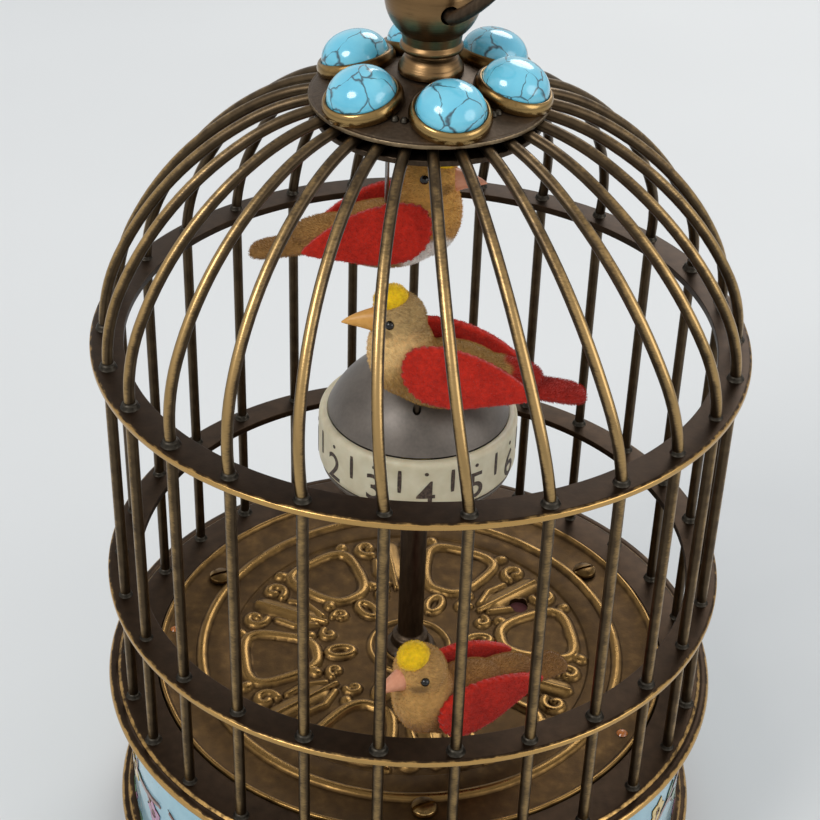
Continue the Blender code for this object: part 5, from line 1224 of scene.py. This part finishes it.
def makeBase():
    ring = turnedMesh("baseRing", [
        (51.9, 45.7, 0.15), (59.0, 45.7, 0.2), (59.35, 45.45, 0.2), (59.7, 45.15, 0.1),
        (60.1, 45.3, 0.2), (60.75, 45.3, 0.3), (61.3, 45.0, 0.3), (61.6, 44.3, 0.35),
        (61.35, 43.7, 0.3), (60.9, 43.4, 0.1), (60.95, 43.1, 0.2), (60.5, 42.5, 0.3),
        (59.4, 42.0, 0.2), (56.5, 42.0), (56.5, 39.6), (54.6, 39.6), (49.4, 42.0), (49.4, 43.5),
        (51.9, 43.5)], 224)
    finishPiece("baseRing", ring, bandBronze, "base", ("base_top_ring",))
    outer = base["drumRadius"]
    low = base["drumLow"]
    high = base["drumTop"]
    drum = turnedMesh("drum", [
        (outer - base["drumWall"], high), (outer, high, 0.15), (outer + 0.02, high - 0.6, 0.1),
        (outer, (high + low) / 2 + 6.0), (outer, (high + low) / 2 - 6.0), (outer, low + 0.5),
        (outer, low, 0.15), (outer - base["drumWall"], low)], 224)
    finishPiece("drum", drum, enamelBlue(), "base", ("base_drum",), 50)
    films = drumArt()
    inks = {"wire": turnedBrass, "branch": enamelColour("redBrownEnamel", "#5d2a1c", "#8f4a30"),
            "leaf": enamelColour("greenEnamel", "#3f6a4c", "#77a06f"),
            "plum": enamelColour("plumEnamel", "#8a4a74", "#c487a8"),
            "yellow": enamelColour("yellowEnamel", "#c99a2c", "#ecd06e"),
            "white": enamelColour("whiteEnamel", "#d9d6c6", "#f3f0e4")}
    for kind, flat in films.items():
        finishPiece("drum" + kind.capitalize(), flat, inks[kind], "base",
                    (), 50)

    foot = turnedMesh("footRing", [
        (49.3, 13.9), (56.5, 13.9), (56.5, 12.4), (58.6, 12.4, 0.3), (59.4, 12.0, 0.3),
        (59.6, 11.6, 0.1), (60.4, 11.5, 0.3), (61.0, 10.9, 0.4), (61.0, 10.2, 0.4),
        (60.5, 9.55, 0.3), (59.8, 9.3, 0.2), (47.0, 9.3), (47.0, 10.5), (49.3, 10.5)], 192)
    studs, feet = [], []
    leg = turnedMesh("foot", [
        (0.0, 13.9), (1.5, 13.9), (1.5, 9.0), (4.9, 9.0, 0.15), (5.05, 8.5, 0.2), (4.9, 7.7, 0.2),
        (4.2, 7.2, 0.4), (3.75, 6.6, 0.5), (4.4, 5.4, 0.8), (6.0, 4.0, 0.9), (6.2, 3.0, 0.6),
        (5.9, 1.4, 0.8), (4.7, 0.15, 0.3), (4.3, 0.0, 0.1), (0.0, 0.0)], 56, False)
    for azimuth in base["footAzimuths"]:
        spot = polar(base["footRing"], azimuth) * mm
        studs.append(uprightRod(spot, 0.008, 0.015, 1.9, 20))
        feet.append(placedCopy(leg, Matrix.Translation(spot)))
    finishPiece("footRing", cutMesh(foot, studs), bandBronze, "base",
                ("foot_ring",))
    finishPiece("feet", joinedMesh("feet", feet), turnedBrass, "base",
                numbered("foot", 4))

    cover = turnedMesh("cover", [
        (0.0, 12.0), (48.7, 12.0, 0.1), (48.7, 10.8, 0.1), (46.3, 10.8, 0.2), (45.9, 11.15, 0.3),
        (45.2, 11.15, 0.3), (44.8, 10.8, 0.2), (0.0, 10.8)], 160, False)
    keySpot, knobSpot = (Vector(base[name]).to_3d() * mm for name in ("keySpot", "knobSpot"))
    holes = [uprightRod(keySpot, 0.009, 0.013, 3.4, 40),
             uprightRod(knobSpot, 0.009, 0.013, 2.2, 32)]
    finishPiece("bottomCover", cutMesh(cover, holes), plateBronze, "base",
                ("bottom_cover",))
    makeKeyAndKnob(Matrix.Translation(keySpot), Matrix.Translation(knobSpot))


def makeKeyAndKnob(keyPlace, knobPlace):
    shank = turnedMesh("shank", [
        (0.0, 10.0), (2.0, 10.0), (2.2, 10.2, 0.1), (3.4, 10.2, 0.3), (3.4, 8.9, 0.1),
        (3.15, 8.7, 0.1), (3.15, 8.2, 0.1), (3.4, 8.0, 0.1), (3.4, 3.3, 0.5), (2.4, 2.2, 0.3),
        (0.0, 2.2)], 48, False)
    wings = []
    edge = curveThrough([(0.0, 7.6), (2.4, 7.4), (4.6, 7.55), (7.4, 7.6), (9.3, 6.8), (9.95, 5.0),
                         (9.3, 3.2), (7.4, 2.25), (4.6, 2.3), (2.4, 3.0), (0.0, 3.3)], 3, False)
    for side in (-1.0, 1.0):
        rings = []
        for y, shrink in ((-0.7, 0.25), (-0.5, 0.0), (0.5, 0.0), (0.7, 0.25)):
            rings.append([Vector((side * (p.x - (p.x - 4.8) / 6 * shrink), y,
                                  p.y - (p.y - 5.0) / 3 * shrink)) * mm for p in edge])
        wing = loftMesh("wing", rings)
        hole = rodMesh((side * 6.2 * mm, -0.002, 0.005), (side * 6.2 * mm, 0.002, 0.005),
                       1.5 * mm, 24)
        wings.append(cutMesh(wing, [hole]))
    key = placedCopy(cutMesh(shank, wings, "UNION"), keyPlace @ turnedBy(60.0, "Z"))
    finishPiece("windingKey", key, gearBrass, "winder", ("winding_key",))
    rim = []
    count = 96
    for z, radius, knurl in ((7.2, 4.2, 0.0), (7.05, 4.75, 0.0), (6.7, 4.9, 1.0),
                             (3.6, 4.9, 1.0), (3.1, 4.75, 0.0), (2.8, 4.2, 0.0)):
        ring = []
        for k in range(count):
            a = tau * k / count
            r = radius + (0.1 if k % 4 < 2 else -0.14) * knurl
            ring.append(Vector((r * cos(a), r * sin(a), z)) * mm)
        rim.append(ring)
    knob = loftMesh("knob", rim)
    stem = rodMesh((0.0, 0.0, 0.0068), (0.0, 0.0, 0.0094), 2.6 * mm, 32)
    finishPiece("settingKnob", placedCopy(cutMesh(knob, [stem], "UNION"), knobPlace), gearBrass,
                "centre", ("setting_knob",))


makeBase()
print("base")


# Birds: flocked bodies, felt wings, painted beaks and glass eyes
def eggMesh(at, semi, lean=0.0):  # ellipsoid in mm, turned about Y in degrees
    bm = bmesh.new()
    bmesh.ops.create_uvsphere(bm, u_segments=40, v_segments=24, radius=1.0)
    bmesh.ops.transform(bm, verts=bm.verts, matrix=(
        movedBy(at) @ turnedBy(lean, "Y") @ Matrix.Diagonal((*(s * mm for s in semi), 1.0))))
    return asMesh(bm, "egg")


def tailMesh():
    rings = []
    place = movedBy((0.0, 0.0, -2.0)) @ turnedBy(-7.0, "Y")
    for x, half, thick in ((-4.0, 3.6, 2.0), (-8.0, 3.9, 1.5), (-12.0, 3.6, 1.25),
                           (-16.0, 3.7, 1.15), (-20.0, 3.85, 1.1), (-23.0, 3.6, 1.05),
                           (-24.6, 2.8, 0.9), (-25.3, 1.8, 0.6)):
        rings.append([place @ (Vector((x, y, z)) * mm)
                      for y, z in arc((0.0, 0.0), (half, thick), 0.0, 360.0, 24)[:-1]])
    return loftMesh("tail", rings)


def remeshed(mesh, voxel, smoothing):
    thing = newObject("helper", mesh)
    change = thing.modifiers.new("remesh", "REMESH")
    change.mode = "VOXEL"
    change.voxel_size = voxel * mm
    soft = thing.modifiers.new("smooth", "SMOOTH")
    soft.factor = 0.5
    soft.iterations = smoothing
    return evaluatedMesh(thing, mesh.name)


def paintVertices(mesh, colours):  # list of linear colours, one per vertex
    layer = mesh.attributes.new("colour", "FLOAT_COLOR", "POINT")
    layer.data.foreach_set("color", np.asarray(colours, dtype=np.float32).reshape(-1))


def mixed(a, b, share):
    return a * (1 - share[:, None]) + b * share[:, None]


def softStep(value, low, high):
    t = np.clip((value - low) / (high - low), 0.0, 1.0)
    return t * t * (3 - 2 * t)


def birdColours(mesh, bird):
    co = np.empty(len(mesh.vertices) * 3)
    mesh.vertices.foreach_get("co", co)
    x, y, z = (co.reshape(-1, 3) / mm).T
    wave = np.array([noise.noise(Vector((a * 0.35, b * 0.35, c * 0.35 + bird["seed"])))
                     for a, b, c in zip(x, y, z)])
    belly = np.sqrt((x - 9.4) ** 2 / 24 + (y + 3.0) ** 2 / 20 + (z + 4.4) ** 2 / 11)
    gapeShade = np.sqrt((x - 13.3) ** 2 / 2.2 + (np.abs(y) - 3.9) ** 2 / 3.5 + (z - 8.6) ** 2 / 0.8)
    back = bird["saddle"] * softStep(z - 0.45 * x + 1.6 * wave, 3.0, 6.5)
    layers = [(bird["gold"], softStep(x + 1.2 * z + 2.0 * wave, 8.0, 17.0)),
              ("#7a5228", 0.5 * softStep(-x + 3.0 * wave, 6.0, 20.0)), ("#76572f", back)]
    if bird["redTail"]:
        layers.append(("#a3261a", softStep(-x + 1.5 * wave, 9.0, 10.5)))
    # a pale belly patch, whitened past its own colour as painted light where direct light falls on
    # it
    if bird["paleLitBelly"]:
        layers.append(("#fbf7ee", softStep(-belly - 0.25 * wave, -1.4, -0.95)))
    # painted shade on each side of the head where the beak meets it
    layers.append(("#4d2f16", 0.55 * softStep(-gapeShade, -1.5, -0.7)))
    colours = np.repeat(np.array([hexColour(bird["tan"])]), len(x), 0)
    for code, share in layers:
        colours = mixed(colours, np.array(hexColour(code)), share)
    return colours


def fibreTree():
    # short tapering fibres stood on a surface, laid back a little, all from one seed
    tree, given = newTree("fibres", {"Density": 1.0e7, "Length": 0.4 * mm, "Width": 0.05 * mm,
                                     "Lay": (0.0, 0.0, 0.0), "Seed": 1})
    points = addNode(tree, "GeometryNodeDistributePointsOnFaces",
                     {"Mesh": given["Geometry"], "Density": given["Density"],
                      "Seed": given["Seed"]})
    spread = addNode(tree, "FunctionNodeRandomValue",
                     {"Seed": given["Seed"], 0: (-0.5, -0.5, -0.5), 1: (0.5, 0.5, 0.5)},
                     data_type="FLOAT_VECTOR").outputs[0]
    lean = points.outputs["Normal"]
    for more in (spread, given["Lay"]):
        lean = addNode(tree, "ShaderNodeVectorMath", {0: lean, 1: more}, operation="ADD")
    turn = addNode(tree, "FunctionNodeAlignRotationToVector", {"Vector": lean}, axis="Z")
    fibre = addNode(tree, "GeometryNodeMeshCone", {"Vertices": 3, "Radius Top": 0.01 * mm,
                                                   "Radius Bottom": given["Width"],
                                                   "Depth": given["Length"]})
    coat = addNode(tree, "GeometryNodeInstanceOnPoints", {
        "Points": points, "Instance": fibre, "Rotation": turn})
    both = addNode(tree, "GeometryNodeJoinGeometry")
    tree.links.new(coat.outputs[0], both.inputs[0])
    tree.links.new(given["Geometry"], both.inputs[0])
    return endTree(tree, both, flock)


def beakMesh():
    rings = []
    for i in range(9):
        t = i / 8
        x = 13.6 + 6.7 * t
        radius = 2.4 * (1 - t) ** 0.8 + 0.12
        drop = 9.0 - 0.2 * t - 0.7 * t ** 3
        rings.append([Vector((x, y, z)) * mm
                      for y, z in arc((0.0, drop), (radius * 0.9, radius), 0.0, 360.0, 20)[:-1]])
    return loftMesh("beak", rings)


def wingMesh():  # flat felt leaf in its own X-Y plane, the front edge cut with pinking shears
    loop = curveThrough([(10.0, 2.2), (8.4, 4.6), (4.0, 5.2), (-2.0, 3.9), (-8.0, 1.0),
                         (-14.0, -3.6), (-13.2, -4.8), (-7.0, -5.6), (0.0, -6.4), (6.0, -5.2),
                         (9.4, -1.8)], 8)
    cut = []
    length = 0.0
    for i, point in enumerate(loop):
        length += (point - loop[i - 1]).length if i else 0.0
        away = Vector((point.x + 1.0, point.y * 1.6)).normalized()
        tooth = abs((length / feathers["pink"]) % 2.0 - 1.0) - 0.5
        share = 1.0 if point.x > 1.0 else 0.35
        cut.append(point + away * tooth * feathers["tooth"] * share)
    rings = []
    thick = feathers["wingThick"]
    for level, shrink in ((-1.0, 0.35), (-0.72, 0.0), (0.72, 0.0), (1.0, 0.35)):
        rings.append([Vector((p.x * (1 - shrink / 12), p.y * (1 - shrink / 6),
                              level * thick)) * mm for p in cut])
    return remeshed(loftMesh("wing", rings), feathers["wingVoxel"], 2)


feathers = {"voxel": 0.42, "smooth": 7, "bodyDensity": 1.25e7, "bodyLength": 0.42,
            "bodyWidth": 0.06, "wingDensity": 9.0e6, "wingLength": 0.26, "wingWidth": 0.055,
            "crestDensity": 9.0e6, "crestLength": 0.26, "crestWidth": 0.06, "wingThick": 0.85,
            "wingVoxel": 0.3, "pink": 0.8, "tooth": 0.75, "curl": 0.012, "side": 6.0,
            "eggs": (((0.9, 0.0, -1.7), (10.8, 5.8, 6.3)), ((-8.0, 0.0, -1.6), (8.8, 4.0, 3.6)),
                     ((9.2, 0.0, 2.4), (6.0, 5.4, 8.4), 12.0),
                     ((10.4, 0.0, 9.2), (4.9, 4.9, 4.9))),
            "cap": ((12.1, 0.0, 13.3), (3.1, 2.95, 2.35), 18.0)}
birds["swing"].update({
    "tan": "#b5864a", "gold": "#d6a052", "paleLitBelly": True, "saddle": 0.15, "wingLean": 7.0,
    "wingRise": 1.6, "wingDip": 0.0, "wingAhead": 0.5, "eye": (9.9, 4.3, 11.0),
    "beak": ("coralPaint", "#d0805c", "#eba984")})
birds["ball"].update({
    "tan": "#b38949", "gold": "#ebc585", "paleLitBelly": False, "saddle": 0.55, "wingLean": 7.0,
    "wingRise": 1.6, "wingDip": 0.0, "wingAhead": -0.6, "eye": (12.3, 4.15, 10.3),
    "beak": ("orangePaint", "#d8923a", "#ecb35e")})
birds["floor"].update({
    "tan": "#a5733c", "gold": "#cf9f5c", "paleLitBelly": False, "saddle": 0.3, "wingLean": 2.0,
    "wingRise": 0.8, "wingDip": 9.0, "wingAhead": -0.6, "eye": (12.3, 4.15, 10.3),
    "beak": ("coralPaint", "#d0805c", "#eba984")})


def paintedBeak(name, low, high):
    # painted wood, a little worn
    return mottled(name, {"Roughness": 0.4}, 1.0, 3.0, low, high)


def blackGlass():
    # solid black glass bead
    return mottled("blackGlassBead", {"Roughness": 0.06, "IOR": 1.52}, 0.8, 2.0,
                   "#080706", "#17130f")


def makeBirds():
    fibres = fibreTree()
    eyeGlass = blackGlass()
    eye = eggMesh((0.0, 0.0, 0.0), (0.85, 0.85, 0.85))
    wing = wingMesh()
    for name, bird in birds.items():
        body = bird["body"]
        spot = birdPlace(bird)

        def addPiece(label, mesh, surface, nodes=(), sharp=40, place=Matrix()):
            finishPiece(name + "Bird" + label, placedCopy(mesh, spot @ place), surface, body,
                        nodes, sharp)

        def flocked(label, mesh, kind, lay, seed):
            return treeMesh(name + label, mesh, fibres, {
                "Density": feathers[kind + "Density"], "Length": feathers[kind + "Length"] * mm,
                "Width": feathers[kind + "Width"] * mm, "Lay": lay, "Seed": bird["seed"] + seed})

        beakPaint = paintedBeak(*bird["beak"])
        parts = [eggMesh(*egg) for egg in feathers["eggs"]] + [tailMesh()]
        shape = remeshed(joinedMesh(name, parts), feathers["voxel"], feathers["smooth"])
        paintVertices(shape, birdColours(shape, bird))
        addPiece("Body", flocked("Body", shape, "body", (-0.8, 0.0, -0.1), 0), flock,
                 (body + "_body",))
        cap = remeshed(eggMesh(*feathers["cap"]), feathers["wingVoxel"], 1)
        paintVertices(cap, np.repeat(np.array([hexColour("#f2c51c")]), len(cap.vertices), 0))
        addPiece("Crest", flocked("Crest", cap, "crest", (0.0, 0.0, 0.0), 20), flock)
        addPiece("Beak", beakMesh(), beakPaint, (), 50)
        ahead, aside, high = bird["eye"]
        eyes = joinedMesh("eyes", [placedCopy(eye, movedBy((ahead, side * aside, high)))
                                   for side in (-1.0, 1.0)])
        addPiece("Eyes", eyes, eyeGlass, (), 35)
        for label, sign in (("right", -1.0), ("left", 1.0)):
            leaf = wing.copy()
            for v in leaf.vertices:  # curled in toward the body, most at the rear
                v.co.z += sign * mm * feathers["curl"] * ((v.co.y / mm) ** 2 * 0.8
                                                          + max(0.0, -v.co.x / mm) ** 2 * 0.45)
            share = np.array([0.5 + 0.5 * noise.noise(v.co * (0.25 / mm)) for v in leaf.vertices])
            red, dark = (np.array([hexColour(code)]) for code in ("#d4301e", "#a01d12"))
            paintVertices(leaf, mixed(np.repeat(red, len(share), 0), dark,
                                      np.clip(share, 0.0, 1.0) * 0.7))
            felt = flocked(label, leaf, "wing", (-0.4, 0.0, 0.0), 40 + int(sign))
            place = (movedBy((bird["wingAhead"], sign * feathers["side"], bird["wingRise"]))
                     @ turnedBy(bird["wingDip"], "Y")
                     @ turnedBy(90.0 + sign * bird["wingLean"], "X"))
            addPiece(label.capitalize() + "Wing", felt, flock,
                     ("%s_%s_wing" % (body, label),), 40, place)
    makePost("floorBirdPost", birds["floor"], 0.044)
    low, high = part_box("bird_hanger")
    x, y = (low.x + high.x) / 2, (low.y + high.y) / 2
    line = [(x, y, z) for z in (high.z, high.z - 0.004, low.z + 0.006, low.z)]
    finishPiece("birdHanger", sweepMesh("hanger", line, perch["hanger"] * mm, 14), rodSteel,
                "swing_bird", ("bird_hanger",), 60)


makeBirds()
print("birds")


# Movement and small fixings keep their own shape and get their real finish
finishes = (
    (gearBrass, ("crown_nut", "movement_bottom_plate", "movement_top_plate", "hour_tube",
                 "spring_barrel", "centre_wheel", "minute_wheel", "third_wheel", "fourth_wheel",
                 "escape_wheel", "balance_wheel")),
    (rodSteel, ("core_tube", "bird_lever", "barrel_arbor", "pallet_lever")),
    (springSteel, ("mainspring", "hairspring")), (columnMetal, ("push_rod",)))
for surface, names in finishes:
    for name in names:
        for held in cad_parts[name].material_slots:
            held.material = surface
print("movement")
